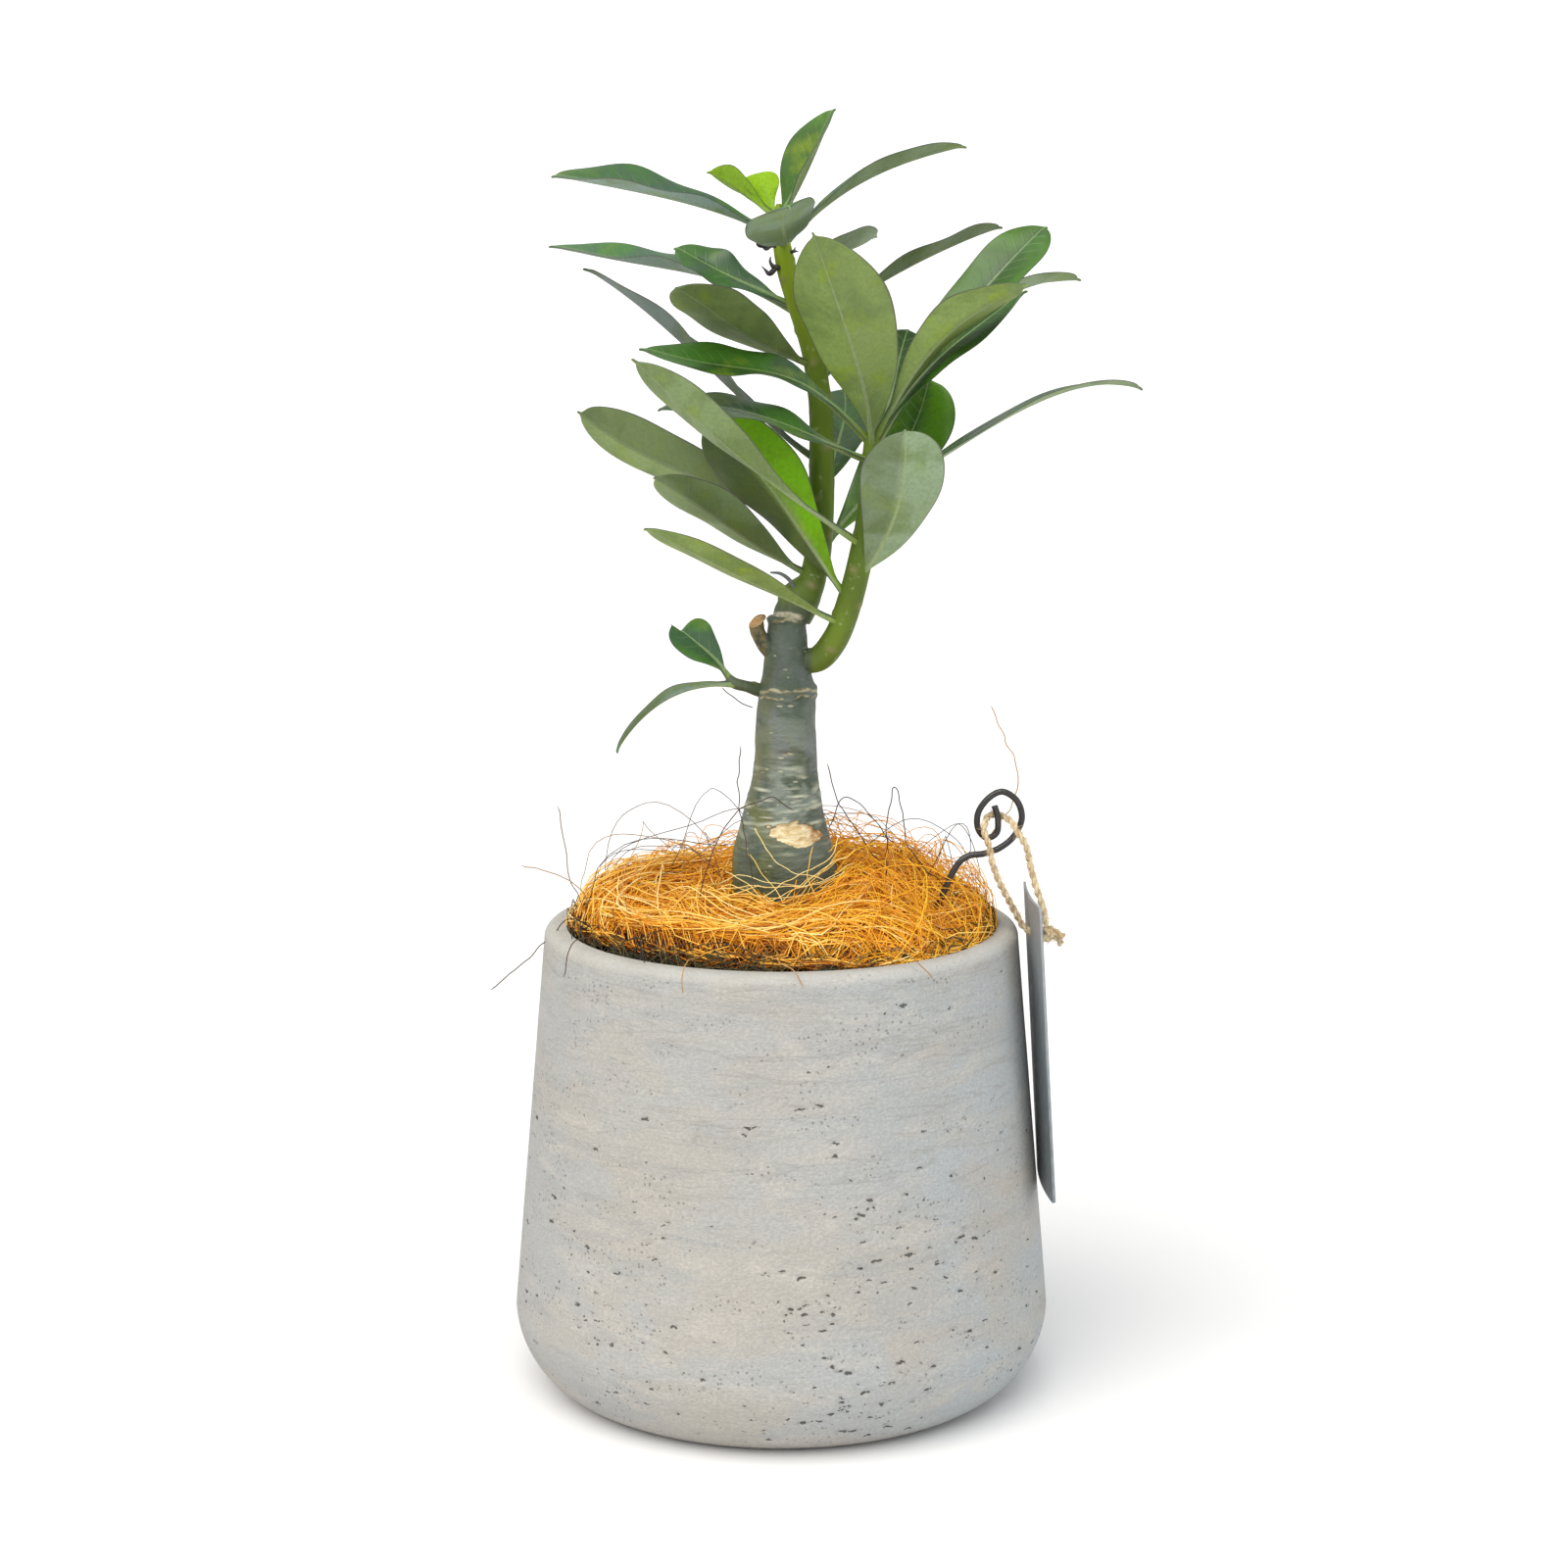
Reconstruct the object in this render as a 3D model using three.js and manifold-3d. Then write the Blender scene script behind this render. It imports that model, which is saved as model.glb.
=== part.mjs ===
// A young desert rose (adenium) in a round clay-fibre pot, about 340 mm tall.
// Millimetres, +Z up. The origin is the centre of the pot's foot, and +Y points
// away from the side that the plant is looked at from.

import * as THREE from 'three';
import { mergeVertices } from 'three/addons/utils/BufferGeometryUtils.js';
import Module from 'manifold-3d';

const wasm = await Module();
wasm.setup();

// ---------------------------------------------------------------- dimensions
const GAP = 0.3;                 // clearance between pieces that touch

const POT_HEIGHT = 126.5;
const POT_MAX_RADIUS = 72.5;     // widest, just above the rounded foot
const POT_WIDEST_AT = 22;        // height of the widest ring
const POT_FOOT_RADIUS = 55;      // flat foot that the pot stands on
const POT_RIM_RADIUS = 63.6;
const POT_MOUTH_RADIUS = 57.4;   // inner edge of the rim
const POT_FLOOR = 8;
const POT_WALL_LOW = 7.5;        // wall at the widest ring, thicker than at the rim
const POT_WALL_FOOT = 3;         // the floor's inner edge is this much inside the foot's
const POT_CORNER_POWER = 1.1;    // 1 would make the foot's corner an ellipse
const RIM_ROUND = 3;
const MOUTH_CHAMFER = 0.5;
const POT_SIDES = 40;

const SOIL_TOP = 114.5;
const SOIL_RIPPLE = 1.2;         // rings of loose soil round the trunk

const MAT_EDGE_HEIGHT = 126;     // top of the coir where it meets the pot
const MAT_CROWN_HEIGHT = 135;    // top of the coir against the trunk
const MAT_RADIUS = 56;
const MAT_EDGE_THICKNESS = 5;    // where the mat is widest, above the soil
const MAT_SIDES = 28;
const STRAND_RADIUS = 0.55;
const STRAND_COUNT = 44;

const LEAF_THICKNESS = 0.75;
const PETIOLE_RADIUS = 1.05;
const PETIOLE_SHARE = 0.07;      // of the leaf's length
const BLADE_END = 0.985;         // of the leaf's length, where the blade ends in its tip
const LEAF_TIP_HALF = 0.35;      // half the width of the blunt tip
const RIB_DEPTH = 0.5;           // how far the midrib stands out underneath

const WIRE_RADIUS = 0.85;
const TWINE_RADIUS = 0.9;
const KNOT_RADIUS = 2.1;
const TAG_WIDTH = 36;
const TAG_HEIGHT = 80;
const TAG_THICKNESS = 0.8;
const TAG_HOLE_RADIUS = 2;
const TAG_CORNER = 1;

// ------------------------------------------------------------------- colours
const clay = new THREE.MeshStandardMaterial({ color: 0xb9bbb6, roughness: 0.9 });
const earth = new THREE.MeshStandardMaterial({ color: 0x35291d, roughness: 1 });
const coir = new THREE.MeshStandardMaterial({ color: 0xd08c2a, roughness: 0.85 });
const bark = new THREE.MeshStandardMaterial({ color: 0x77837a, roughness: 0.8 });
const leafGreen = new THREE.MeshStandardMaterial({ color: 0x5f7d3c, roughness: 0.5 });
const tipGreen = new THREE.MeshStandardMaterial({ color: 0x8fc21f, roughness: 0.45 });
const blackWire = new THREE.MeshStandardMaterial({ color: 0x1b1b1c, roughness: 0.35, metalness: 0.4 });
const jute = new THREE.MeshStandardMaterial({ color: 0xd9c59a, roughness: 0.9 });
const card = new THREE.MeshStandardMaterial({ color: 0x6f777b, roughness: 0.7 });

// ------------------------------------------------------------------- helpers
const vec = (x, y, z) => new THREE.Vector3(x, y, z);
const FULL_TURN = Math.PI * 2;

function randomFrom(seed) {
  let state = seed;
  return () => {
    state = (state * 1664525 + 1013904223) % 4294967296;
    return state / 4294967296;
  };
}

// A closed skin over rows of equal loops that run anticlockwise about the way
// the rows go, with flat ends. Sides from mirroredFrom on are split along the
// other diagonal, so that the two faces of a blade are split alike.
function loft(rows, mirroredFrom = Infinity) {
  const sides = rows[0].length;
  const last = (rows.length - 1) * sides;
  const index = [];
  for (let row = 0; row + 1 < rows.length; row++) {
    for (let side = 0; side < sides; side++) {
      const a = row * sides + side;
      const b = row * sides + (side + 1) % sides;
      const c = a + sides;
      const d = b + sides;
      if (side >= mirroredFrom) index.push(a, b, c, b, d, c);
      else index.push(a, b, d, a, d, c);
    }
  }
  for (let side = 1; side + 1 < sides; side++) {
    index.push(0, side + 1, side);
    index.push(last, last + side, last + side + 1);
  }
  const geometry = new THREE.BufferGeometry();
  const numbers = rows.flat().flatMap((p) => [p.x, p.y, p.z]);
  geometry.setAttribute('position', new THREE.Float32BufferAttribute(numbers, 3));
  geometry.setIndex(index);
  return geometry;
}

function solidOf(geometry) {
  const bare = geometry.clone();
  bare.deleteAttribute('normal');
  bare.deleteAttribute('uv');
  const merged = mergeVertices(bare, 1e-4);
  return new wasm.Manifold(new wasm.Mesh({
    numProp: 3,
    vertProperties: new Float32Array(merged.attributes.position.array),
    triVerts: new Uint32Array(merged.index.array),
  }));
}

function geometryOf(solid) {
  const mesh = solid.getMesh();
  const geometry = new THREE.BufferGeometry();
  geometry.setAttribute('position', new THREE.BufferAttribute(mesh.vertProperties, 3));
  geometry.setIndex(new THREE.BufferAttribute(mesh.triVerts, 1));
  return geometry;
}

const fuse = (solids) => wasm.Manifold.union(solids);

// A smooth curve through [x, y, z] points.
const curveThrough = (points) => new THREE.CatmullRomCurve3(points.map((p) => vec(...p)));

function circle(radius, sides) {
  const shape = new THREE.Shape();
  for (let side = 0; side < sides; side++) {
    const turn = (side / sides) * FULL_TURN;
    const x = radius * Math.cos(turn);
    const y = radius * Math.sin(turn);
    if (side === 0) shape.moveTo(x, y);
    else shape.lineTo(x, y);
  }
  shape.closePath();
  return shape;
}

const tube = (curve, radius, sides, steps) => new THREE.ExtrudeGeometry(
  circle(radius, sides),
  { extrudePath: curve, steps, bevelEnabled: false },
);

// Round loops along [x, y, z, radius] points, for what tapers and bends. Each
// loop starts level with the reference, which the points must not run along.
function ringsAlong(points, sides, grow = 0, reference = vec(0, 1, 0)) {
  const centres = points.map(([x, y, z]) => vec(x, y, z));
  return points.map(([, , , radius], row) => {
    const ahead = centres[Math.min(row + 1, centres.length - 1)];
    const behind = centres[Math.max(row - 1, 0)];
    const along = ahead.clone().sub(behind).normalize();
    const across = reference.clone().cross(along).normalize();
    const other = along.clone().cross(across);
    return Array.from({ length: sides }, (_, side) => {
      const turn = (side / sides) * FULL_TURN;
      return centres[row].clone()
        .addScaledVector(across, (radius + grow) * Math.cos(turn))
        .addScaledVector(other, (radius + grow) * Math.sin(turn));
    });
  });
}

// ----------------------------------------------------------------- pot, soil
// The wall follows the outside: a rounded foot, a straight taper and a flat rim
// with a rounded outer edge. The inside runs parallel to it.
function cornerArc(footRadius, maxRadius, bottom, top, steps) {
  const points = [];
  for (let step = 0; step <= steps; step++) {
    const turn = (step / steps) * Math.PI / 2;
    points.push(new THREE.Vector2(
      footRadius + (maxRadius - footRadius) * Math.sin(turn) ** POT_CORNER_POWER,
      bottom + (top - bottom) * (1 - Math.cos(turn) ** POT_CORNER_POWER),
    ));
  }
  return points;
}

const INNER_MAX_RADIUS = POT_MAX_RADIUS - POT_WALL_LOW;
const INNER_FOOT_RADIUS = POT_FOOT_RADIUS - POT_WALL_FOOT;

function potGeometry() {
  const rim = [];
  for (let step = 0; step <= 4; step++) {
    const turn = (step / 4) * Math.PI / 2;
    rim.push(new THREE.Vector2(
      POT_RIM_RADIUS - RIM_ROUND * (1 - Math.cos(turn)),
      POT_HEIGHT - RIM_ROUND * (1 - Math.sin(turn)),
    ));
  }
  const profile = [
    new THREE.Vector2(0, 0),
    ...cornerArc(POT_FOOT_RADIUS, POT_MAX_RADIUS, 0, POT_WIDEST_AT, 7),
    ...rim,
    new THREE.Vector2(POT_MOUTH_RADIUS + MOUTH_CHAMFER, POT_HEIGHT),
    new THREE.Vector2(POT_MOUTH_RADIUS, POT_HEIGHT - MOUTH_CHAMFER),
    ...cornerArc(INNER_FOOT_RADIUS, INNER_MAX_RADIUS, POT_FLOOR, POT_WIDEST_AT, 4).reverse(),
    new THREE.Vector2(0, POT_FLOOR),
  ];
  return new THREE.LatheGeometry(profile, POT_SIDES).rotateX(Math.PI / 2);
}

// Inner radius of the pot at a height above the widest ring.
function potInnerRadius(height) {
  const share = (height - POT_WIDEST_AT) / (POT_HEIGHT - MOUTH_CHAMFER - POT_WIDEST_AT);
  return THREE.MathUtils.lerp(INNER_MAX_RADIUS, POT_MOUTH_RADIUS, share);
}

function soilSolid() {
  const edge = potInnerRadius(SOIL_TOP) - GAP;
  const profile = [
    new THREE.Vector2(0, POT_FLOOR + GAP),
    ...cornerArc(INNER_FOOT_RADIUS - GAP, INNER_MAX_RADIUS - GAP, POT_FLOOR + GAP, POT_WIDEST_AT, 4),
    new THREE.Vector2(edge, SOIL_TOP),
    new THREE.Vector2(edge * 0.83, SOIL_TOP + SOIL_RIPPLE),
    new THREE.Vector2(edge * 0.62, SOIL_TOP),
    new THREE.Vector2(edge * 0.41, SOIL_TOP + SOIL_RIPPLE),
    new THREE.Vector2(0, SOIL_TOP + SOIL_RIPPLE),
  ];
  return solidOf(new THREE.LatheGeometry(profile, POT_SIDES).rotateX(Math.PI / 2));
}

// --------------------------------------------------------------------- trunk
// Centre line of the swollen grey stem: [x, y, z, radius].
const TRUNK = [
  [0, 0, 90, 9], [0, 0, 102, 14], [0.5, 0, 118, 16], [0.8, 0, 128, 15.3], [1, 0, 134, 14.3],
  [0.8, 0, 140, 14.2], [0.5, 0, 146, 13.4], [0.4, 0, 152, 11.9], [0.6, 0, 158, 10.4],
  [1.1, 0, 169.5, 8.5], [1.2, 0, 181.5, 7.9], [1.5, 0, 187, 7.8], [1.6, 0, 189, 7.9],
  [1.6, 0, 190.6, 7.5], [1.5, 0, 193.5, 6.5], [1.5, 0, 199, 5.7], [1.6, 0, 205, 5.1],
  [1.6, 0, 207.2, 5], [1.6, 0, 208.4, 5.2], [1.6, 0, 209.2, 4.9],
];
const TRUNK_TOP = TRUNK[TRUNK.length - 1][2];
const TRUNK_SIDES = 18;
// The stub of a pruned shoot, high on the left.
const STUB = [[-1, 0, 199, 2.5], [-3.8, -1.3, 201.2, 2.2], [-6, -2.3, 205.4, 2], [-6.6, -2.8, 209.4, 1.9]];
const FLARE_TOP = 157;
const FLARE_FADE = 40;

// Low swellings where the roots leave, fading out up the stem.
function flare(turn, height) {
  const fade = THREE.MathUtils.clamp((FLARE_TOP - height) / FLARE_FADE, 0, 1);
  return 1 + fade * (0.05 * Math.cos(3 * turn + 0.6) + 0.03 * Math.sin(5 * turn));
}

// The trunk, or with grow the room that it takes in what it stands in.
function trunkSolid(grow) {
  const last = TRUNK.length - 1;
  const rows = TRUNK.map(([x, y, z, radius], row) => {
    const height = z + (row === last ? grow : 0) - (row === 0 ? grow : 0);
    return Array.from({ length: TRUNK_SIDES }, (_, side) => {
      const turn = (side / TRUNK_SIDES) * FULL_TURN;
      const r = radius * flare(turn, z) + grow;
      return vec(x + r * Math.cos(turn), y + r * Math.sin(turn), height);
    });
  });
  return fuse([solidOf(loft(rows)), solidOf(loft(ringsAlong(STUB, 8, grow)))]);
}

// -------------------------------------------------------------------- leaves
// A leaf's midrib passes through four points: its root in the stem, two points
// a third and two thirds of the way along, and its tip.
function midribThrough(root, third, twoThirds, tip) {
  const handleOut = root.clone().multiplyScalar(-5).addScaledVector(third, 18)
    .addScaledVector(twoThirds, -9).addScaledVector(tip, 2).divideScalar(6);
  const handleIn = root.clone().multiplyScalar(2).addScaledVector(third, -9)
    .addScaledVector(twoThirds, 18).addScaledVector(tip, -5).divideScalar(6);
  return new THREE.CubicBezierCurve3(root, handleOut, handleIn, tip);
}

const LEAF_ROWS = [0, 0.08, 0.2, 0.34, 0.48, 0.62, 0.75, 0.87, 0.96, 1];
const LEAF_COLUMNS = [-1, -0.5, 0, 0.5, 1];
const WAVE_TURN = 15;            // radians of ripple along a leaf's edge
const WAVE_OFFSET = 1.9;         // between its two edges
const WAVE_START = 1.7;          // by the height where the leaf grows

// Half the blade's width along its length: narrow at the stalk, the slower to
// widen the larger the base power is, and the rounder at its end the smaller the
// end power is.
function bladeHalf(share, width, base, end) {
  const along = THREE.MathUtils.clamp((share - PETIOLE_SHARE) / (BLADE_END - PETIOLE_SHARE), 0, 1);
  const outline = (at) => at ** base * (1 - at) ** end;
  const widest = outline(base / (base + end));
  const least = THREE.MathUtils.lerp(PETIOLE_RADIUS, LEAF_TIP_HALF, share);
  return Math.max((width / 2) * (outline(along) / widest), least);
}

// face is the way the upper side looks; fold tips the halves up about the
// midrib, in degrees; wave is how far the edges ripple.
function leafSolid(stem, leaf) {
  const { at, third, twoThirds, tip, face, width, fold = 18, wave = 1, base = 1.25, end = 0.62 } = leaf;
  const midrib = midribThrough(pointOn(stem, at), vec(...third), vec(...twoThirds), vec(...tip));
  const phase = at * WAVE_START;
  const rows = LEAF_ROWS.map((share) => {
    const centre = midrib.getPoint(share);
    const along = midrib.getTangent(share);
    const across = along.clone().cross(vec(...face)).normalize();
    const over = across.clone().cross(along).normalize();
    const half = bladeHalf(share, width, base, end);
    const open = Math.sin(Math.PI * share) ** 0.6;
    const tilt = THREE.MathUtils.degToRad(fold) * open;
    const rib = RIB_DEPTH * (1 - share);
    const skin = THREE.MathUtils.lerp(PETIOLE_RADIUS * 0.8, LEAF_THICKNESS / 2, Math.min(1, share / 0.2));
    const place = (column, side) => {
      const ripple = wave * open * column * column * (half / (width / 2))
        * Math.sin(share * WAVE_TURN + phase + (column > 0 ? WAVE_OFFSET : 0));
      const lift = half * Math.abs(column) * Math.sin(tilt) + ripple
        + side * skin - (side < 0 && column === 0 ? rib : 0);
      return centre.clone()
        .addScaledVector(across, half * column * Math.cos(tilt))
        .addScaledVector(over, lift);
    };
    const upper = LEAF_COLUMNS.map((column) => place(column, 1));
    const lower = LEAF_COLUMNS.map((column) => place(column, -1)).reverse();
    return [...upper, ...lower];
  });
  return solidOf(loft(rows, LEAF_COLUMNS.length));
}

// The point on a stem's centre line at a height.
function pointOn(stem, height) {
  const above = Math.max(1, stem.findIndex((p) => p[2] >= height));
  const [x0, y0, z0] = stem[above - 1];
  const [x1, y1, z1] = stem[above];
  const share = (height - z0) / (z1 - z0);
  return vec(x0, y0, z0).lerp(vec(x1, y1, z1), share);
}

function leafyStem(stem, leaves) {
  const solids = leaves.map((leaf) => leafSolid(stem, leaf));
  return fuse([solidOf(loft(ringsAlong(stem, 10))), ...solids]);
}

// The leading shoot grows out of the top of the trunk.
const LEADER = [
  [2.7, 0, TRUNK_TOP + GAP, 4.9], [3.8, 0, 211.2, 5.3], [4.7, 0, 213.4, 5.5],
  [6.3, 0.1, 215.7, 4.8], [7.9, 0.2, 218.2, 3.8], [8.7, 0.3, 221, 3.5], [9.8, 0.5, 227, 3.5],
  [10.5, 0.6, 238, 3.4], [10.6, 0.8, 250, 3.3], [10.4, 0.9, 262, 3.1], [9.6, 0.9, 270, 3],
  [7.8, 0.8, 280, 2.9], [4, 0.5, 291.5, 2.75], [1.6, 0.3, 299, 2.6], [0.2, 0, 306, 2.3],
  [-0.3, 0, 311, 1.5],
];
const LEADER_LEAVES = [
  { at: 308, third: [-17.5, -9, 315.2], twoThirds: [-37, -17, 319.8], tip: [-57.5, -24, 323.5],
    face: [0.33, -0.22, 0.92], width: 15, fold: 33 },
  { at: 307, third: [0.8, -20, 308], twoThirds: [0.2, -38, 312.3], tip: [2, -54, 315.5],
    face: [-0.38, 0.2, 0.9], width: 19, fold: 9, wave: 0.4, base: 0.9 },
  { at: 306, third: [15, 9, 319], twoThirds: [31, 17, 327], tip: [49, 24, 332],
    face: [-0.38, 0.04, 0.93], width: 14, fold: 24, wave: 0.3 },
  { at: 296, third: [8.5, 14, 302], twoThirds: [17, 28, 304.6], tip: [25.5, 40, 308.6],
    face: [-0.5, 0.13, 0.85], width: 16, fold: 20, wave: 0.3 },
  { at: 288, third: [-15.5, 16, 297], twoThirds: [-36.5, 28, 301], tip: [-63, 38, 306],
    face: [0.06, -0.2, 0.97], width: 15, fold: 26, wave: 1.2 },
  { at: 290, third: [-8.5, 3, 295.5], twoThirds: [-18, 5, 300], tip: [-28, 8, 305.5],
    face: [0.17, -0.68, 0.72], width: 12.5, fold: 15 },
  { at: 275, third: [-7.3, -12, 282.8], twoThirds: [-17, -23, 289.6], tip: [-26.5, -33, 296],
    face: [0, 0.48, 0.88], width: 19, fold: 12, wave: 0.4, base: 0.75, end: 0.5 },
  { at: 284, third: [24, 10, 295.5], twoThirds: [42, 20, 304.5], tip: [59, 30, 311],
    face: [-0.48, 0.19, 0.86], width: 12, fold: 20, wave: 0.8 },
  { at: 250, third: [-9, 10, 265], twoThirds: [-30, 24, 283.5], tip: [-53.5, 38, 300],
    face: [0.61, 0.09, 0.78], width: 14, fold: 20 },
  { at: 230, third: [-11.5, 4, 241.5], twoThirds: [-33, 10, 250], tip: [-54, 16, 262.5],
    face: [0.47, 0.69, 0.54], width: 20, fold: 15, wave: 0.3, end: 0.5 },
  { at: 220, third: [-5, -6, 228], twoThirds: [-17.5, -14, 237.5], tip: [-32.5, -22, 248],
    face: [0.21, 0.6, 0.77], width: 18, fold: 15, wave: 0.3, end: 0.5 },
  { at: 223, third: [20, 10, 237], twoThirds: [32, 20, 251], tip: [40, 28, 271],
    face: [-0.3, -0.9, 0.3], width: 22, fold: 10, base: 1.7, end: 0.5 },
  { at: 240, third: [14, 15, 250], twoThirds: [17, 31, 259], tip: [17, 46, 267],
    face: [0, -0.6, 0.8], width: 18, fold: 18 },
  { at: 269, third: [13, 14, 277], twoThirds: [14, 28, 286], tip: [14, 41, 295],
    face: [0, -0.6, 0.8], width: 17, fold: 14 },
];

// The side branch leaves the trunk on the right and turns up beside the leader.
const BRANCH = [
  [5.5, -0.4, 197.5, 3.3], [9, -0.8, 197.7, 3.4], [11.4, -1.6, 199.4, 3.5], [13.9, -3, 203, 3.5],
  [15.8, -4, 207, 3.4], [17.7, -5.5, 213, 3.4], [19.3, -7, 219, 3.3], [20.9, -8, 226.3, 3.2],
  [22.1, -9, 233, 3.1], [23.1, -9.5, 241.5, 3], [23.6, -10, 250, 2.8], [23.6, -10, 256, 2.2],
  [23.5, -10, 260, 1.2],
];
const BRANCH_LEAVES = [
  { at: 253, third: [21.2, -20, 270], twoThirds: [15.6, -29, 288], tip: [8, -33, 309.3],
    face: [0.35, 1, 0.3], width: 26, fold: 16, end: 0.66 },
  { at: 255, third: [4.5, -14, 271], twoThirds: [-12, -17, 275], tip: [-36, -20, 280.5],
    face: [0.26, -0.41, 0.87], width: 16, fold: 20 },
  { at: 251, third: [7, -17, 258], twoThirds: [-10.5, -17, 264], tip: [-32, -11, 264.5],
    face: [0.1, -0.32, 0.94], width: 16, fold: 10 },
  { at: 229, third: [2, -26, 243.5], twoThirds: [-15.5, -38, 258.5], tip: [-36.5, -47, 279],
    face: [0.35, 0.59, 0.73], width: 16, fold: 22, wave: 0.4, base: 2.6, end: 0.7 },
  { at: 214, third: [6, -9, 231.5], twoThirds: [-6, -9, 248], tip: [-20.5, -8, 260],
    face: [0.36, 0.88, 0.32], width: 23, fold: 12, end: 0.5 },
  { at: 208, third: [-0.5, -16, 217], twoThirds: [-18.5, -26, 227], tip: [-34.5, -34, 236],
    face: [0.27, 0.42, 0.87], width: 15, fold: 10, wave: 0.2, end: 0.7 },
  { at: 256, third: [39, -4, 278], twoThirds: [56, 5, 297.5], tip: [70, 14, 311],
    face: [-0.12, -0.66, 0.74], width: 16.5, fold: 14 },
  { at: 256, third: [35.3, -18, 276], twoThirds: [46, -27, 287.5], tip: [61, -36, 297],
    face: [-0.25, 0.55, 0.8], width: 16.5, fold: 20, wave: 0.5 },
  { at: 254, third: [36.5, -13, 273], twoThirds: [48.5, -16, 284], tip: [62, -20, 295],
    face: [-0.45, -0.35, 0.6], width: 15, fold: 2, wave: 0.3, end: 0.8 },
  { at: 252, third: [37, 2, 275], twoThirds: [57, 16, 291.5], tip: [81, 36, 297],
    face: [-0.38, 0.14, 0.92], width: 13, fold: 15, wave: 0.6 },
  { at: 242, third: [45, 0, 253.5], twoThirds: [71, 14, 266.3], tip: [97.5, 26, 268],
    face: [-0.26, 0.05, 0.96], width: 12, fold: 8, wave: 0.3 },
  { at: 219, third: [27.5, -16, 233], twoThirds: [31, -25, 246.8], tip: [31, -32, 260.6],
    face: [-0.1, 0.95, 0.35], width: 22, fold: 12, wave: 0.6, base: 1, end: 0.52 },
  { at: 246, third: [28, 2, 264], twoThirds: [31, 14, 275], tip: [34, 24, 284],
    face: [0, -0.8, 0.5], width: 16, fold: 12 },
];

// The small bright leaves of the growing tip stand round the leader's end.
const TIP_STEM = [[-0.3, 0.1, 311.4, 1.4], [-0.5, 0.4, 314, 1.3], [-0.7, 0.8, 316.4, 0.7]];
const TIP_LEAVES = [
  { at: 313, third: [-8.5, 3, 318.6], twoThirds: [-13.5, 6, 322], tip: [-19, 9, 325],
    face: [0.63, 0.45, 0.64], width: 11, fold: 20, wave: 0.1, end: 0.9 },
  { at: 313, third: [-3.5, 2.5, 317.5], twoThirds: [-5, 4, 321], tip: [-6.5, 6, 324.5],
    face: [0.19, -0.84, 0.5], width: 10, fold: 10, wave: 0.3, end: 0.4 },
  { at: 313, third: [4.4, -4, 321], twoThirds: [8.8, -7, 330], tip: [13.2, -10, 340.3],
    face: [-0.84, -0.36, 0.29], width: 18.5, fold: 40, wave: 0.3, base: 0.7, end: 0.9 },
];

// A short twig low on the left with one arching leaf and one small folded one.
const TWIG = [[-6.6, -2, 190, 1.7], [-9.2, -3.6, 191, 1.4], [-12.2, -4.8, 192, 1.5],
  [-14, -5, 193.6, 1.1]];
const TWIG_LEAVES = [
  { at: 191.9, third: [-21, -9, 192], twoThirds: [-32, -13, 188], tip: [-43.5, -16, 175.5],
    face: [-0.63, 0.34, 0.7], width: 5.5, fold: 25, wave: 0.4 },
  { at: 193, third: [-17.6, -6.5, 198.6], twoThirds: [-21.8, -8.5, 202.8], tip: [-26.2, -10, 206.7],
    face: [0.59, -0.76, 0.28], width: 12.5, fold: 18, wave: 0.3, end: 0.2 },
];

// ---------------------------------------------------------- wire hook, twine
const HOOK_DEPTH = -12;          // the wire is bent in a plane facing the front
const HOOK_ROUTE = [
  [34, 84], [38, 118], [40, 129], [42.7, 136.6], [46.4, 144.4], [49.5, 147], [53.5, 147.6],
  [57.6, 149.1], [61.3, 152.2], [63.4, 157], [62.1, 161.7], [58.3, 164.2], [54.6, 162.5],
  [51.9, 158.6], [51.9, 154.4], [54.1, 151.9], [56.8, 153.2], [57.1, 157], [56.2, 160.4],
];
const HOOK_SIDES = 7;
const HOOK_STEPS = 46;
const hookCurve = curveThrough(HOOK_ROUTE.map(([x, z]) => [x, HOOK_DEPTH, z]));
const hookSolid = (radius) => solidOf(tube(hookCurve, radius, HOOK_SIDES, HOOK_STEPS));

// The room that the wire takes in soil and coir, with clearance past its foot.
function hookRoomSolid() {
  const [footX, footZ] = HOOK_ROUTE[0];
  const foot = new THREE.SphereGeometry(WIRE_RADIUS + GAP, HOOK_SIDES, 5)
    .translate(footX, HOOK_DEPTH, footZ);
  return fuse([hookSolid(WIRE_RADIUS + GAP), solidOf(foot)]);
}

// The tag hangs flat against the pot's right side, its top above the rim.
const TAG_CENTRE = [68.1, -9, 96];
const TAG_LEAN = -0.06;          // its foot stands out with the pot's taper
const TAG_TURN = 0.04;
const TAG_HOLE_BELOW_TOP = 10;

function tagGeometry() {
  const w = TAG_WIDTH / 2;
  const h = TAG_HEIGHT / 2;
  const c = TAG_CORNER;
  const outline = new THREE.Shape([
    new THREE.Vector2(-w, -h + c), new THREE.Vector2(-w + c, -h), new THREE.Vector2(w - c, -h),
    new THREE.Vector2(w, -h + c), new THREE.Vector2(w, h - c), new THREE.Vector2(w - c, h),
    new THREE.Vector2(-w + c, h), new THREE.Vector2(-w, h - c),
  ]);
  const hole = new THREE.Path();
  hole.absarc(0, h - TAG_HOLE_BELOW_TOP, TAG_HOLE_RADIUS, 0, FULL_TURN, true);
  outline.holes.push(hole);
  return new THREE.ExtrudeGeometry(
    outline,
    { depth: TAG_THICKNESS, bevelEnabled: false, curveSegments: 8 },
  ).rotateX(Math.PI / 2).rotateZ(Math.PI / 2);
}

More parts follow.
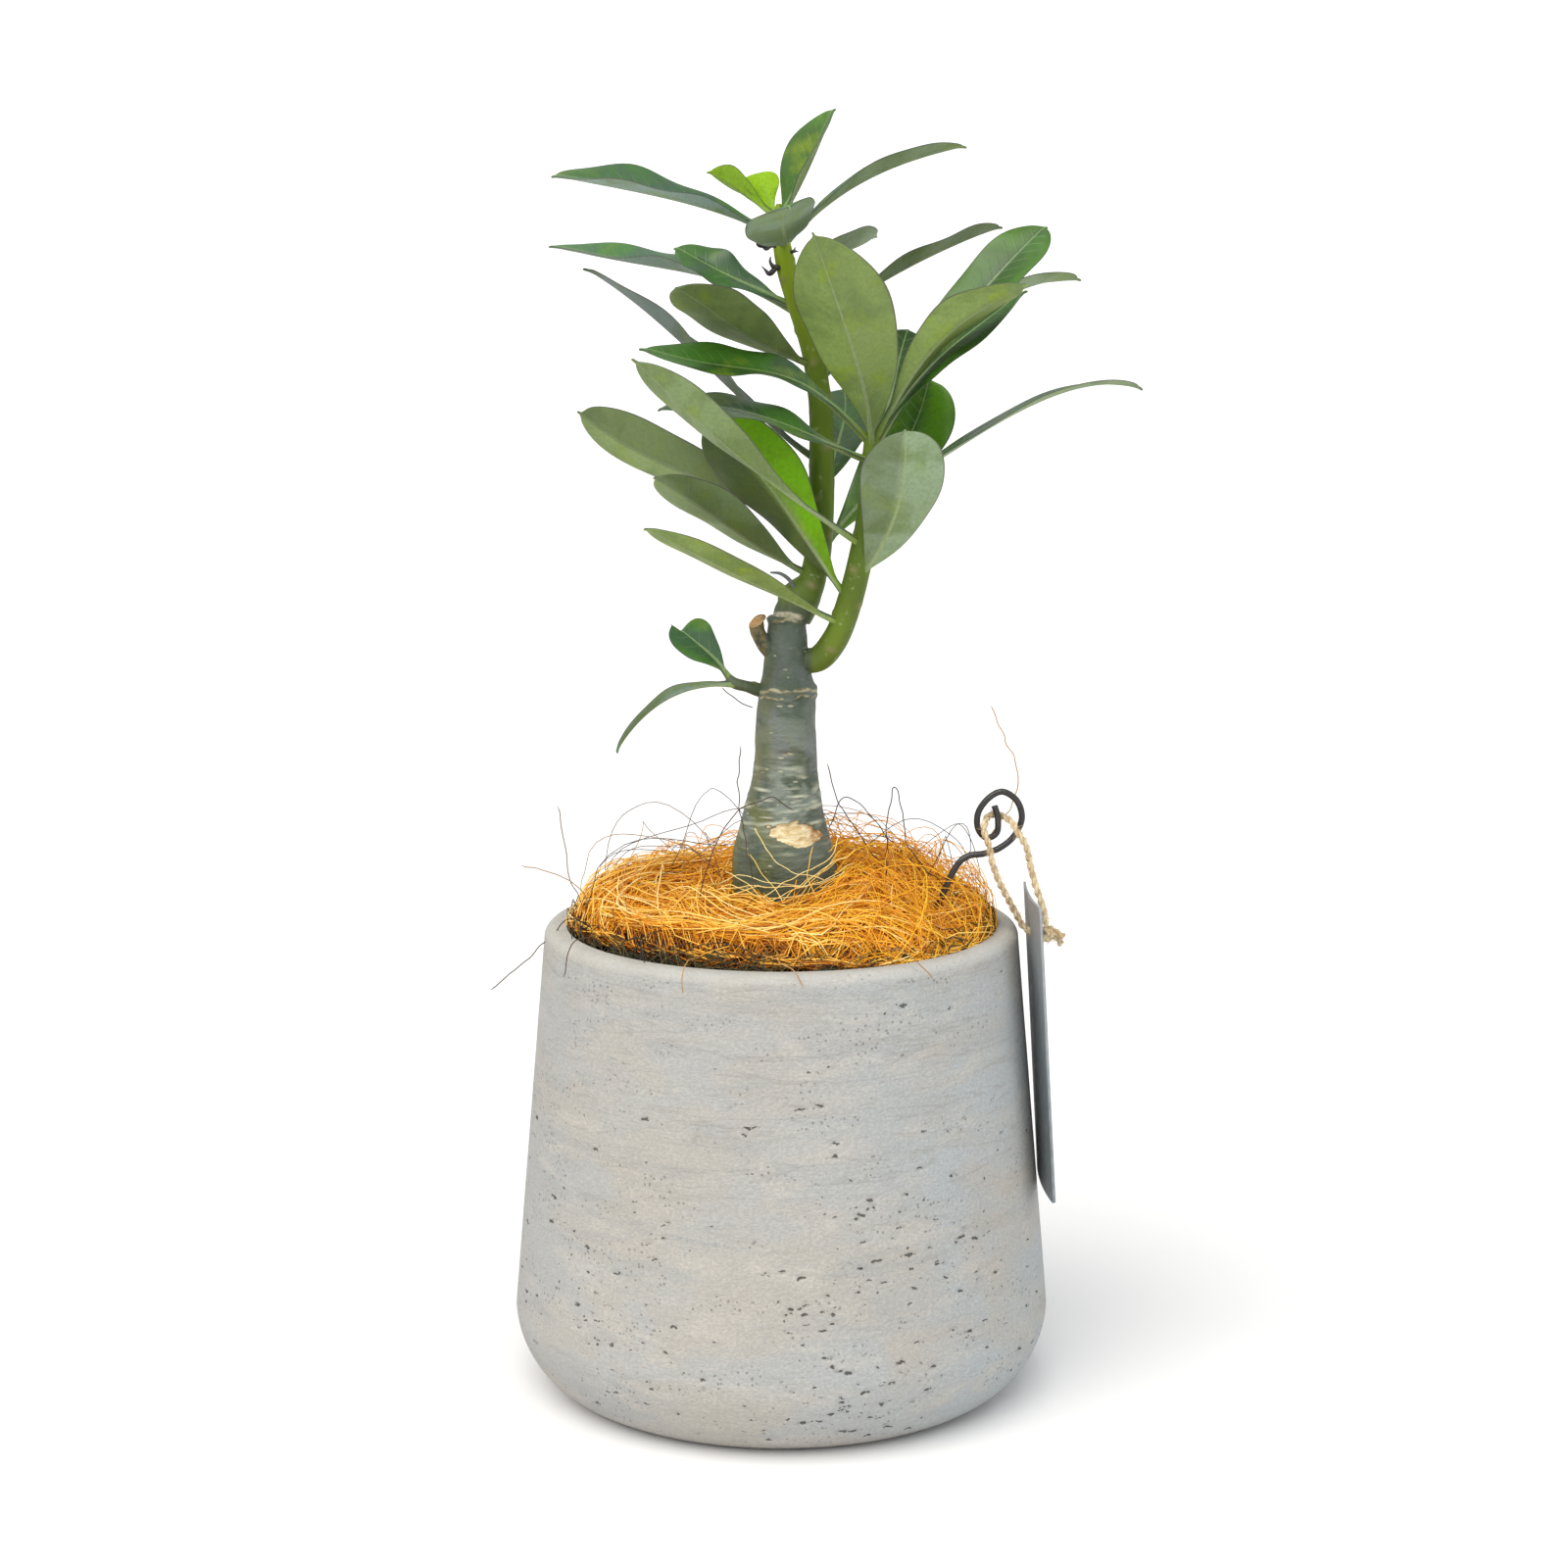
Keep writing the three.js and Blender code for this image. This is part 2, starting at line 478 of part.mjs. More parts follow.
// From the knot outside the tag, up over the wire's inner end, down inside and
// out through the hole to the knot again.
const TWINE_ROUTE = [
  [70.6, -10.4, 126.5], [69.6, -11, 132], [67.6, -11.4, 138], [65.9, -12.2, 144],
  [64.6, -13.6, 149.6], [62.2, -14.6, 153.8], [60.4, -11.9, 156.4], [57.2, -9.4, 157.6],
  [54.4, -11.2, 157.2], [53.4, -14.5, 154.2], [54.6, -14.8, 150.4], [55.6, -14.4, 145.6],
  [57.4, -13, 140.6], [60, -11.4, 135.4], [62.6, -10, 130.4], [64.6, -9.2, 127],
  [66.8, -9, 125.9], [69.6, -9.2, 125.6],
];
const TWINE_KNOT = [70.3, -9.8, 125.7];
const TWINE_ENDS = [
  [[70.6, -9.6, 125.8], [73.4, -9.4, 124.4], [75.4, -9, 122]],
  [[70.6, -9.6, 125.8], [73, -10.6, 126], [76, -11.6, 124.4]],
];
const TWINE_SIDES = 6;
const TWINE_STEPS = 36;
const FRAYED_SHARE = 0.7;        // of the twine's radius, at its loose ends

function twineSolid(grow) {
  const knot = new THREE.SphereGeometry(KNOT_RADIUS + grow, 9, 6).translate(...TWINE_KNOT);
  const ends = TWINE_ENDS.map((route) => (
    tube(curveThrough(route), TWINE_RADIUS * FRAYED_SHARE + grow, TWINE_SIDES, 4)));
  const loop = tube(curveThrough(TWINE_ROUTE), TWINE_RADIUS + grow, TWINE_SIDES, TWINE_STEPS);
  return fuse([loop, knot, ...ends].map(solidOf));
}

// ---------------------------------------------------------------------- coir
// Height of the mat's top: highest against the trunk, with soft lumps.
function matTop(turn, radius) {
  const share = radius / MAT_RADIUS;
  const slope = THREE.MathUtils.lerp(MAT_CROWN_HEIGHT, MAT_EDGE_HEIGHT, share ** 5);
  const lump = 1.5 * Math.sin(3 * turn + radius * 0.12) + 1.1 * Math.sin(7 * turn - radius * 0.2);
  const heap = 3 * Math.sin(Math.PI * share) * (0.6 + 0.4 * Math.sin(turn));
  return slope + lump * (0.3 + 0.7 * Math.sin(Math.PI * share)) + heap;
}

// The mat stops short of the wall at the front left, where the soil shows.
const MAT_SHORT_BY = 5;
const MAT_SHORT_AT = 4.1;

function matRadius(turn) {
  const frontLeft = Math.exp(-((turn - MAT_SHORT_AT) ** 2) / 0.5);
  return MAT_RADIUS + 1.2 * Math.sin(5 * turn) - MAT_SHORT_BY * frontLeft;
}

function matSolid() {
  const bed = SOIL_TOP + SOIL_RIPPLE + GAP;
  const ring = (share, height) => Array.from({ length: MAT_SIDES }, (_, side) => {
    const turn = (side / MAT_SIDES) * FULL_TURN;
    const radius = matRadius(turn) * share;
    return vec(radius * Math.cos(turn), radius * Math.sin(turn), height(turn, radius));
  });
  const under = [ring(0.15, () => bed), ring(0.94, () => bed), ring(1, () => bed + MAT_EDGE_THICKNESS)];
  const top = [0.985, 0.9, 0.72, 0.45, 0.15].map((share) => ring(share, matTop));
  return solidOf(loft([...under, ...top]));
}

const STRAND_BURIED = 1.6;       // how deep both ends of a strand run into the mat
const STRAND_EDGE = 4;           // strands stay this far inside the mat's edge

// Loose strands arch out of the mat and back into it.
function strandSolids() {
  const random = randomFrom(29);
  const strands = [];
  for (let strand = 0; strand < STRAND_COUNT; strand++) {
    const turn = random() * FULL_TURN;
    const radius = THREE.MathUtils.lerp(20, 49, random() ** 0.7);
    const reach = THREE.MathUtils.lerp(8, 20, random());
    const heading = turn + Math.PI / 2 + (random() - 0.5) * 1.8;
    const rise = THREE.MathUtils.lerp(1.5, 6, random() ** 2);
    const points = [-1, -0.5, 0, 0.5, 1].map((share) => {
      const x = radius * Math.cos(turn) + share * reach * Math.cos(heading);
      const y = radius * Math.sin(turn) + share * reach * Math.sin(heading);
      const from = Math.hypot(x, y);
      const held = Math.min(1, (MAT_RADIUS - STRAND_EDGE) / from);
      const round = (Math.atan2(y, x) + FULL_TURN) % FULL_TURN;
      const arch = rise * (1 - share * share) - STRAND_BURIED * share * share;
      return [x * held, y * held, matTop(round, from * held) + arch, STRAND_RADIUS];
    });
    strands.push(solidOf(loft(ringsAlong(points, 3, 0, vec(0, 0, 1)))));
  }
  return strands;
}

// ------------------------------------------------------------------ assembly
const group = new THREE.Group();

function add(name, geometry, material) {
  const mesh = new THREE.Mesh(geometry, material);
  mesh.name = name;
  group.add(mesh);
  return mesh;
}

const trunkRoom = trunkSolid(GAP);
const hookRoom = hookRoomSolid();

add('pot', potGeometry(), clay);
add('soil', geometryOf(soilSolid().subtract(trunkRoom).subtract(hookRoom)), earth);
add('coir_mulch', geometryOf(
  fuse([matSolid(), ...strandSolids()]).subtract(fuse([trunkRoom, hookRoom, twineSolid(GAP)])),
), coir);
add('trunk', geometryOf(trunkSolid(0)), bark);
add('leader_shoot', geometryOf(leafyStem(LEADER, LEADER_LEAVES).subtract(trunkRoom)), leafGreen);
add('leader_tip', geometryOf(leafyStem(TIP_STEM, TIP_LEAVES)), tipGreen);
add('side_branch', geometryOf(leafyStem(BRANCH, BRANCH_LEAVES).subtract(trunkRoom)), leafGreen);
add('left_twig', geometryOf(leafyStem(TWIG, TWIG_LEAVES).subtract(trunkRoom)), leafGreen);
add('wire_hook', geometryOf(hookSolid(WIRE_RADIUS)), blackWire);
add('twine_loop', geometryOf(twineSolid(0)), jute);

const tag = add('tag', tagGeometry(), card);
tag.position.set(...TAG_CENTRE);
tag.rotation.set(0, TAG_LEAN, TAG_TURN);

export default group;
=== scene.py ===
"""The looks of a young desert rose in a clay-fibre pot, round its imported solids.

Metres, +Z up, with the origin at the centre of the pot's foot. The plant was
measured in millimetres, so its sizes are written so and scaled by MM.
"""

import math
from collections import namedtuple

import bmesh
import bpy
import numpy as np
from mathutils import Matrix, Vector, noise


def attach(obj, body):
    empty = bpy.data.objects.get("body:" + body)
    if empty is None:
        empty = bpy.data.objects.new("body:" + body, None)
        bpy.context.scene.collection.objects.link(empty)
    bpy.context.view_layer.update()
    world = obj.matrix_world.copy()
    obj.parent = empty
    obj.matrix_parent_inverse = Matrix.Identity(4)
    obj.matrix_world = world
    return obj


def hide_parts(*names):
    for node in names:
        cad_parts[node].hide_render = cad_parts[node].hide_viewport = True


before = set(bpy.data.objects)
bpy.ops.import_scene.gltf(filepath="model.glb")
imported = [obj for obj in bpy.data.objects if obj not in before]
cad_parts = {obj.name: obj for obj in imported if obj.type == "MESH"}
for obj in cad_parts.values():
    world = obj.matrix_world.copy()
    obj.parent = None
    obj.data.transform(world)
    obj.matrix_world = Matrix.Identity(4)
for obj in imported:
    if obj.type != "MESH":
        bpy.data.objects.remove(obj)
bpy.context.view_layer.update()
MM = 0.001

# ---------------------------------------------------------------------- studio
# The camera stands where the photograph was taken from, 0.82 m in front of the
# pot and looking 10 degrees down. White paper and a wide soft light on the left.
scene = bpy.context.scene
scene.view_settings.view_transform = "Standard"

camera = bpy.data.objects.new("camera", bpy.data.cameras.new("camera"))
camera.data.lens = 72
camera.data.sensor_width = 36
camera.location = (0.72 * MM, -824.53 * MM, 309.01 * MM)
camera.rotation_euler = (math.pi / 2 - 0.17389, 0, 0)
scene.collection.objects.link(camera)
scene.camera = camera


class Bench:
    """Holds the node tree that is being built."""
    tree = None


class Wire:
    """A node's output. Arithmetic on it adds a Math node and gives that node's output."""

    def __init__(self, socket):
        self.socket = socket

    def __add__(self, other):
        return calc("ADD", self, other)

    def __sub__(self, other):
        return calc("SUBTRACT", self, other)

    def __rsub__(self, other):
        return calc("SUBTRACT", other, self)

    def __mul__(self, other):
        return calc("MULTIPLY", self, other)

    def __truediv__(self, other):
        return calc("DIVIDE", self, other)

    def __pow__(self, other):
        return calc("POWER", self, other)

    def __lt__(self, other):
        return calc("LESS_THAN", self, other)

    def __gt__(self, other):
        return calc("GREATER_THAN", self, other)

    def __abs__(self):
        return calc("ABSOLUTE", self)


class Outputs:
    """A node's outputs, each a wire, by name or number."""

    def __init__(self, node):
        self.node = node

    def __getitem__(self, key):
        return Wire(self.node.outputs[key])


def plug(node, key, value):
    """Fills a node's input with a wire, or sets it to a value."""
    if isinstance(value, Wire):
        Bench.tree.links.new(value.socket, node.inputs[key])
    else:
        node.inputs[key].default_value = value


def add_node(kind, inputs=None, **settings):
    """Adds a node with its settings, fills its inputs, and gives its outputs."""
    made = Bench.tree.nodes.new(kind)
    for label, value in settings.items():
        setattr(made, label, value)
    for key, value in (inputs or {}).items():
        plug(made, key, value)
    return Outputs(made)


def calc(operation, *values, clamp=False):
    """A Math node on these numbers or wires."""
    return add_node("ShaderNodeMath", dict(enumerate(values)), operation=operation, use_clamp=clamp)[0]


PAPER_WHITE = 1.3
ROOM_LIGHT = 0.62
world = bpy.data.worlds.new("white_room")
world.use_nodes = True
Bench.tree = world.node_tree
sky = Bench.tree.nodes["Background"]
seen = add_node("ShaderNodeLightPath")["Is Camera Ray"]
plug(sky, "Strength", seen * (PAPER_WHITE - ROOM_LIGHT) + ROOM_LIGHT)
sky.inputs["Color"].default_value = (1, 1, 1, 1)
scene.world = world

for lamp_name, strength, spread, tilt, colour in (
    ("key_light", 2.7, 60, (38, 0, -33), (1.0, 0.975, 0.93)),
    ("fill_light", 0.75, 90, (62, 0, 50), (0.88, 0.95, 1.0)),
):
    lamp = bpy.data.objects.new(lamp_name, bpy.data.lights.new(lamp_name, "SUN"))
    lamp.data.energy = strength
    lamp.data.color = colour
    lamp.data.angle = math.radians(spread)
    lamp.rotation_euler = [math.radians(angle) for angle in tilt]
    scene.collection.objects.link(lamp)

FLOOR_HALF = 4
floor_mesh = bpy.data.meshes.new("floor")
floor_mesh.from_pydata(
    [(-FLOOR_HALF, -FLOOR_HALF, 0), (FLOOR_HALF, -FLOOR_HALF, 0), (FLOOR_HALF, FLOOR_HALF, 0),
     (-FLOOR_HALF, FLOOR_HALF, 0)], [], [(0, 1, 2, 3)])
floor = bpy.data.objects.new("floor", floor_mesh)
scene.collection.objects.link(floor)
paper = bpy.data.materials.new("white_paper")
paper.use_nodes = True
paper.node_tree.nodes["Principled BSDF"].inputs["Base Color"].default_value = (0.86, 0.86, 0.865, 1)
paper.node_tree.nodes["Principled BSDF"].inputs["Roughness"].default_value = 0.9
floor_mesh.materials.append(paper)

# ------------------------------------------------------------------------- pot
# A cover pot cast in clay and fibre: a flat foot, a rounded corner, a straight
# taper and a flat rim. The grey skin is mottled, with smears that run round it
# and small pits where air was trapped, more of them low down.
POT_HEIGHT = 126.5
POT_WIDE_RADIUS = 72.5
POT_WIDE_AT = 22
POT_FOOT_RADIUS = 55
POT_RIM_RADIUS = 63.6
POT_MOUTH_RADIUS = 57.4
POT_FLOOR = 8
POT_WALL = 7.5
POT_SIDES = 384
RIM_ROUND = 3


def corner(foot, wide, low, high, steps):
    """The rounded corner between a foot and the widest ring, as (radius, height)."""
    turns = [k / steps * math.pi / 2 for k in range(steps + 1)]
    return [(foot + (wide - foot) * math.sin(t) ** 1.1,
             low + (high - low) * (1 - max(0, math.cos(t)) ** 1.1)) for t in turns]


def spaced(points, step):
    """More points along a line of (radius, height) points, a step apart at most."""
    made = [points[0]]
    for (r0, z0), (r1, z1) in zip(points, points[1:]):
        parts = max(1, math.ceil(math.hypot(r1 - r0, z1 - z0) / step))
        made += [(r0 + (r1 - r0) * k / parts, z0 + (z1 - z0) * k / parts) for k in range(1, parts + 1)]
    return made


def new_piece(name, points, faces, material):
    """A smooth mesh object from points in millimetres."""
    mesh = bpy.data.meshes.new(name)
    mesh.from_pydata((np.asarray(points, float) * MM).tolist(), [], faces)
    mesh.shade_smooth()
    mesh.materials.append(material)
    piece = bpy.data.objects.new(name, mesh)
    scene.collection.objects.link(piece)
    return piece


def skin_faces(count, sides, first=0):
    """Faces of a closed skin over rows of equal loops, numbered from first."""
    corners = np.arange(count * sides).reshape(count, sides) + first
    right = np.roll(corners, -1, axis=1)
    quads = np.stack([corners[:-1], right[:-1], right[1:], corners[1:]], axis=-1).reshape(-1, 4)
    return quads.tolist() + [corners[0][::-1].tolist(), corners[-1].tolist()]


def bundle(skins, first=0):
    """The points and faces of closed skins, each rows of equal loops, as one mesh."""
    points, faces = [], []
    for rows in skins:
        faces += skin_faces(*rows.shape[:2], first)
        points.append(rows.reshape(-1, 3))
        first += len(points[-1])
    return np.vstack(points), faces


def turned(profile, sides):
    """Rows of points round the axis for (radius, height) points."""
    turn = np.arange(sides) / sides * 2 * math.pi
    return np.array([np.stack([r * np.cos(turn), r * np.sin(turn), np.full(sides, z)], 1)
                     for r, z in profile])


def split(place):
    """A place's X, Y and Z."""
    return add_node("ShaderNodeSeparateXYZ", {0: place})


def vector(operation, *values):
    """A Vector Math node on these vectors."""
    return add_node("ShaderNodeVectorMath", dict(enumerate(values)), operation=operation)[0]


def ramp(value, low, high, to_low=0.0, to_high=1.0):
    """A value mapped from low..high to to_low..to_high, with smooth ends."""
    inputs = {"Value": value, "From Min": low, "From Max": high, "To Min": to_low, "To Max": to_high}
    return add_node("ShaderNodeMapRange", inputs, interpolation_type="SMOOTHSTEP")["Result"]


def blend(share, first, second, how="MIX"):
    """Two colours mixed by a share; each is a wire or an (r, g, b)."""
    first, second = (c if isinstance(c, Wire) else (*c, 1) for c in (first, second))
    return add_node("ShaderNodeMix", {0: share, 6: first, 7: second}, data_type="RGBA", blend_type=how)[2]


def new_material(name, roughness):
    """A material to build: it, its Principled shader, and the place on the object."""
    material = bpy.data.materials.new(name)
    material.use_nodes = True
    Bench.tree = material.node_tree
    shader = Bench.tree.nodes["Principled BSDF"]
    shader.inputs["Roughness"].default_value = roughness
    return material, shader, add_node("ShaderNodeTexCoord")["Object"]


def bump(shader, height, depth, strength=1.0):
    """Feeds the shader's normal from a height that stands for a depth in metres."""
    made = add_node("ShaderNodeBump", {"Height": height, "Strength": strength, "Distance": depth})
    plug(shader, "Normal", made["Normal"])


def mottle_group():
    """A cloudy mask for any skin: Scale is per metre, Stretch squeezes it by axis."""
    group = Bench.tree = bpy.data.node_groups.new("mottle", "ShaderNodeTree")
    for label, kind, value in (("Vector", "Vector", None), ("Stretch", "Vector", (1, 1, 1)),
                               ("Scale", "Float", 50), ("Detail", "Float", 5), ("Warp", "Float", 0.2),
                               ("Low", "Float", 0.4), ("High", "Float", 0.6)):
        socket = group.interface.new_socket(label, in_out="INPUT", socket_type=f"NodeSocket{kind}")
        if value is not None:
            socket.default_value = value
    group.interface.new_socket("Mask", in_out="OUTPUT", socket_type="NodeSocketFloat")
    given = add_node("NodeGroupInput")
    cloud = add_node("ShaderNodeTexNoise", {
        "Vector": vector("MULTIPLY", given["Vector"], given["Stretch"]), "Scale": given["Scale"],
        "Detail": given["Detail"], "Distortion": given["Warp"]})[0]
    plug(group.nodes.new("NodeGroupOutput"), "Mask", ramp(cloud, given["Low"], given["High"]))
    return group


mottle = mottle_group()


def mottled(place, scale, low=0.4, high=0.6, stretch=(1, 1, 1), detail=5.0, warp=0.2):
    """The mask of a mottle group placed in a material."""
    return add_node("ShaderNodeGroup", {
        "Vector": place, "Scale": scale, "Low": low, "High": high, "Stretch": stretch,
        "Detail": detail, "Warp": warp}, node_tree=mottle)["Mask"]


def pits(position):
    """Air pits: ragged and flat, few and small near the rim, more and larger low down.

    The relief and the colour both use this, so that each sunk pit is where its painted shade is.
    """
    stir = add_node("ShaderNodeTexNoise", {"Vector": position, "Scale": 520.0, "Detail": 2.0})
    stirred = vector("SUBTRACT", stir["Color"], (0.5, 0.5, 0.5))
    moved = vector("MULTIPLY_ADD", stirred, (0.006, 0.006, 0.002), position)
    flat = vector("MULTIPLY", moved, (1, 1, 3.0))
    cells = add_node("ShaderNodeTexVoronoi", {"Vector": flat, "Scale": 230.0})
    draw = split(cells["Color"])
    height = split(position)["Z"]
    cluster = add_node("ShaderNodeTexNoise", {"Vector": position, "Scale": 38.0, "Detail": 3.0})
    chance = ramp(height, 105 * MM, 45 * MM, 0.13, 1.0) * ramp(cluster[0], 0.44, 0.6, 0.12, 1.0)
    there = draw["X"] < chance
    size = draw["Y"] ** 3.0 * 0.25 + 0.12
    hole = calc("DIVIDE", size - cells["Distance"], 0.07, clamp=True)
    return hole * there


def clay_material():
    material, shader, place = new_material("clay_fibre", 0.85)
    tone = blend(mottled(place, 24, 0.38, 0.62, (1, 1, 2.4), 6.0, 0.6), (0.43, 0.4, 0.355),
                 (0.4, 0.4, 0.385))
    smear = mottled(place, 30, 0.5, 0.7, (1, 1, 6), 6.0, 0.9)
    tone = blend(smear * 0.4, tone, (0.315, 0.32, 0.315))
    aside = split(place)["X"]
    # Painted cool light: the clay is tinted blue-grey towards the right side, where the cool fill light
    # falls, in mottled patches.
    painted_cool_light = (mottled(place, 26, 0.3, 0.6, (1, 1, 2.6), 5.0, 0.7)
            * ramp(aside, -10 * MM, 58 * MM, 0.05, 0.65))
    tone = blend(painted_cool_light, tone, (0.395, 0.435, 0.46))
    pale = mottled(place, 55, 0.5, 0.72, (1, 1, 3), 7.0, 0.6)
    tone = blend(pale * 0.5, tone, (0.52, 0.485, 0.43))
    height = split(place)["Z"]
    drawn_out = vector("MULTIPLY", place, (1, 1, 11))
    drag = add_node("ShaderNodeTexNoise",
                    {"Vector": drawn_out, "Scale": 24.0, "Detail": 4.0, "Distortion": 0.7})
    near_line = abs(drag[0] - 0.5)
    high_up = ramp(height, 40 * MM, 85 * MM, 0.25, 0.8)
    line = ramp(near_line, 0.022, 0.0) * high_up
    tone = blend(line * 0.5, tone, (0.25, 0.235, 0.215))
    grain = mottled(place, 1100, 0.3, 0.7, (1, 1, 1.5), 6.0)
    tone = blend(grain * 0.42, tone, (0.25, 0.25, 0.245))
    speck = add_node("ShaderNodeTexVoronoi", {"Vector": place, "Scale": 640.0})
    fine = (speck["Distance"] < 0.24) * mottled(place, 60, 0.5, 0.62, (1, 1, 2.5), 4.0)
    tone = blend(fine * 0.55, tone, (0.12, 0.115, 0.105))
    # Painted highlight: the rim top is painted paler, as if lit from above.
    wear_and_highlight = ramp(height, (POT_HEIGHT - 4) * MM, (POT_HEIGHT - 0.5) * MM, 0, 0.45)
    tone = blend(wear_and_highlight, tone, (0.5, 0.48, 0.43))
    hole = pits(place)
    # Painted shade: the pits are coloured near-black, as the shade in these hollows.
    tone = blend(hole * 0.85, tone, (0.05, 0.047, 0.042))
    plug(shader, "Base Color", tone)
    relief = grain * 0.5 + smear * 0.4
    bump(shader, relief - hole, 0.2 * MM)
    return material


def geometry_tree(name, **sizes):
    """A Geometry Nodes tree to build, with these named inputs; gives their wires."""
    tree = Bench.tree = bpy.data.node_groups.new(name, "GeometryNodeTree")
    tree.interface.new_socket("Geometry", in_out="INPUT", socket_type="NodeSocketGeometry")
    kinds = {float: "NodeSocketFloat", int: "NodeSocketInt", bpy.types.Material: "NodeSocketMaterial"}
    for label, value in sizes.items():
        socket = tree.interface.new_socket(label, in_out="INPUT", socket_type=kinds[type(value)])
        socket.default_value = value
    tree.interface.new_socket("Geometry", in_out="OUTPUT", socket_type="NodeSocketGeometry")
    return add_node("NodeGroupInput")


def finish_tree(geometry, material):
    """Ends the tree with instances made real and the material set, and gives it."""
    real = add_node("GeometryNodeRealizeInstances", {0: geometry})[0]
    done = add_node("GeometryNodeSetMaterial", {"Geometry": real, "Material": material})
    plug(Bench.tree.nodes.new("NodeGroupOutput"), 0, done[0])
    return Bench.tree


def run_tree(piece, tree, **sizes):
    """Runs a tree on a piece with these inputs, and leaves a plain mesh."""
    modifier = piece.modifiers.new(tree.name, "NODES")
    modifier.node_group = tree
    for item in tree.interface.items_tree:
        if item.item_type == "SOCKET" and item.in_out == "INPUT" and item.name in sizes:
            modifier[item.identifier] = sizes[item.name]
    grown = piece.evaluated_get(bpy.context.evaluated_depsgraph_get())
    mesh = bpy.data.meshes.new_from_object(grown)
    piece.modifiers.remove(modifier)
    piece.data = mesh
    return piece


def cast_wall_tree(material):
    """The cast skin's relief: slow swells, and the pits sunk in."""
    given = geometry_tree("cast_wall", Swell=0.12 * MM, Pit_Depth=0.5 * MM, Clay=material)
    position = add_node("GeometryNodeInputPosition")[0]
    normal = add_node("GeometryNodeInputNormal")[0]
    wave = add_node("ShaderNodeTexNoise", {"Vector": position, "Scale": 45.0, "Detail": 1.0})
    swell = (wave[0] - 0.5) * given["Swell"]
    sunk = pits(position) * given["Pit_Depth"]
    shift = add_node("ShaderNodeVectorMath", {0: normal, "Scale": swell - sunk}, operation="SCALE")
    above = split(position)["Z"] > 0.6 * MM
    moved = add_node("GeometryNodeSetPosition",
                     {"Geometry": given["Geometry"], "Selection": above, "Offset": shift[0]})
    return finish_tree(moved[0], given["Clay"])


rim = [(POT_RIM_RADIUS - RIM_ROUND * (1 - math.cos(t)), POT_HEIGHT - RIM_ROUND * (1 - math.sin(t)))
       for t in np.linspace(0, math.pi / 2, 9)]
mouth = [(POT_MOUTH_RADIUS + 0.5 - 0.5 * math.sin(t), POT_HEIGHT - 0.5 + 0.5 * math.cos(t))
         for t in np.linspace(0, math.pi / 2, 5)]
outside = spaced([(4, 0), (POT_FOOT_RADIUS - 1, 0)], 12)
outside += corner(POT_FOOT_RADIUS, POT_WIDE_RADIUS, 0, POT_WIDE_AT, 40)
outside += spaced([outside[-1], rim[0]], 0.68)[1:] + rim[1:] + mouth
inside = spaced([mouth[-1], (POT_WIDE_RADIUS - POT_WALL, POT_WIDE_AT)], 3)[1:]
inside += corner(POT_FOOT_RADIUS - 3, POT_WIDE_RADIUS - POT_WALL, POT_FLOOR, POT_WIDE_AT, 6)[::-1][1:]
inside += spaced([inside[-1], (4, POT_FLOOR)], 12)[1:]
clay = clay_material()
pot_rows = turned(outside + inside, POT_SIDES)
pot = new_piece("cast_pot", *bundle([pot_rows]), clay)
run_tree(pot, cast_wall_tree(clay), Clay=clay)
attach(pot, "root")
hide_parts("pot")

# ------------------------------------------------------------------------ soil
# Dark potting soil fills the pot to 12 mm below the rim. Its top is rough, and
# loose crumbs lie on it where the coir leaves it open at the front left.
SOIL_TOP = 114.5
SOIL_GAP = 0.3
SOIL_SIDES = 128


def soil_material():
    material, shader, place = new_material("potting_soil", 0.95)
    tone = blend(mottled(place, 220, 0.35, 0.65), (0.022, 0.016, 0.011), (0.075, 0.05, 0.03))
    tone = blend(mottled(place, 600, 0.62, 0.7), tone, (0.14, 0.095, 0.055))
    plug(shader, "Base Color", tone)
    bump(shader, mottled(place, 900, 0.2, 0.8), 0.6 * MM)
    return material


def join(*parts):
    """Meshes or instances joined into one."""
    joined = add_node("GeometryNodeJoinGeometry")
    for part in parts:
        plug(joined.node, 0, part)
    return joined[0]


def crumb_tree():
    """Small lumps of soil scattered on the top face."""
    given = geometry_tree("soil_crumbs", Per_Area=220000.0, Seed=4, Soil=soil)
    normal = split(add_node("GeometryNodeInputNormal")[0])
    height = split(add_node("GeometryNodeInputPosition")[0])
    top = (normal["Z"] > 0.4) * (height["Z"] > (SOIL_TOP - 4) * MM)
    spots = add_node("GeometryNodeDistributePointsOnFaces",
                     {"Mesh": given["Geometry"], "Selection": top, "Density": given["Per_Area"],
                      "Seed": given["Seed"]})
    lump = add_node("GeometryNodeMeshIcoSphere", {"Radius": 0.9 * MM, "Subdivisions": 1})
    size = add_node("FunctionNodeRandomValue", {0: (0.4, 0.4, 0.3), 1: (1.7, 1.4, 0.9)},
                    data_type="FLOAT_VECTOR")
    turn = add_node("FunctionNodeRandomValue", {0: (0, 0, 0), 1: (0.6, 0.6, 6.28)},
                    data_type="FLOAT_VECTOR")
    lumps = add_node("GeometryNodeInstanceOnPoints",
                     {"Points": spots["Points"], "Instance": lump["Mesh"], "Rotation": turn[0],
                      "Scale": size[0]})
    return finish_tree(join(lumps[0], given["Geometry"]), given["Soil"])


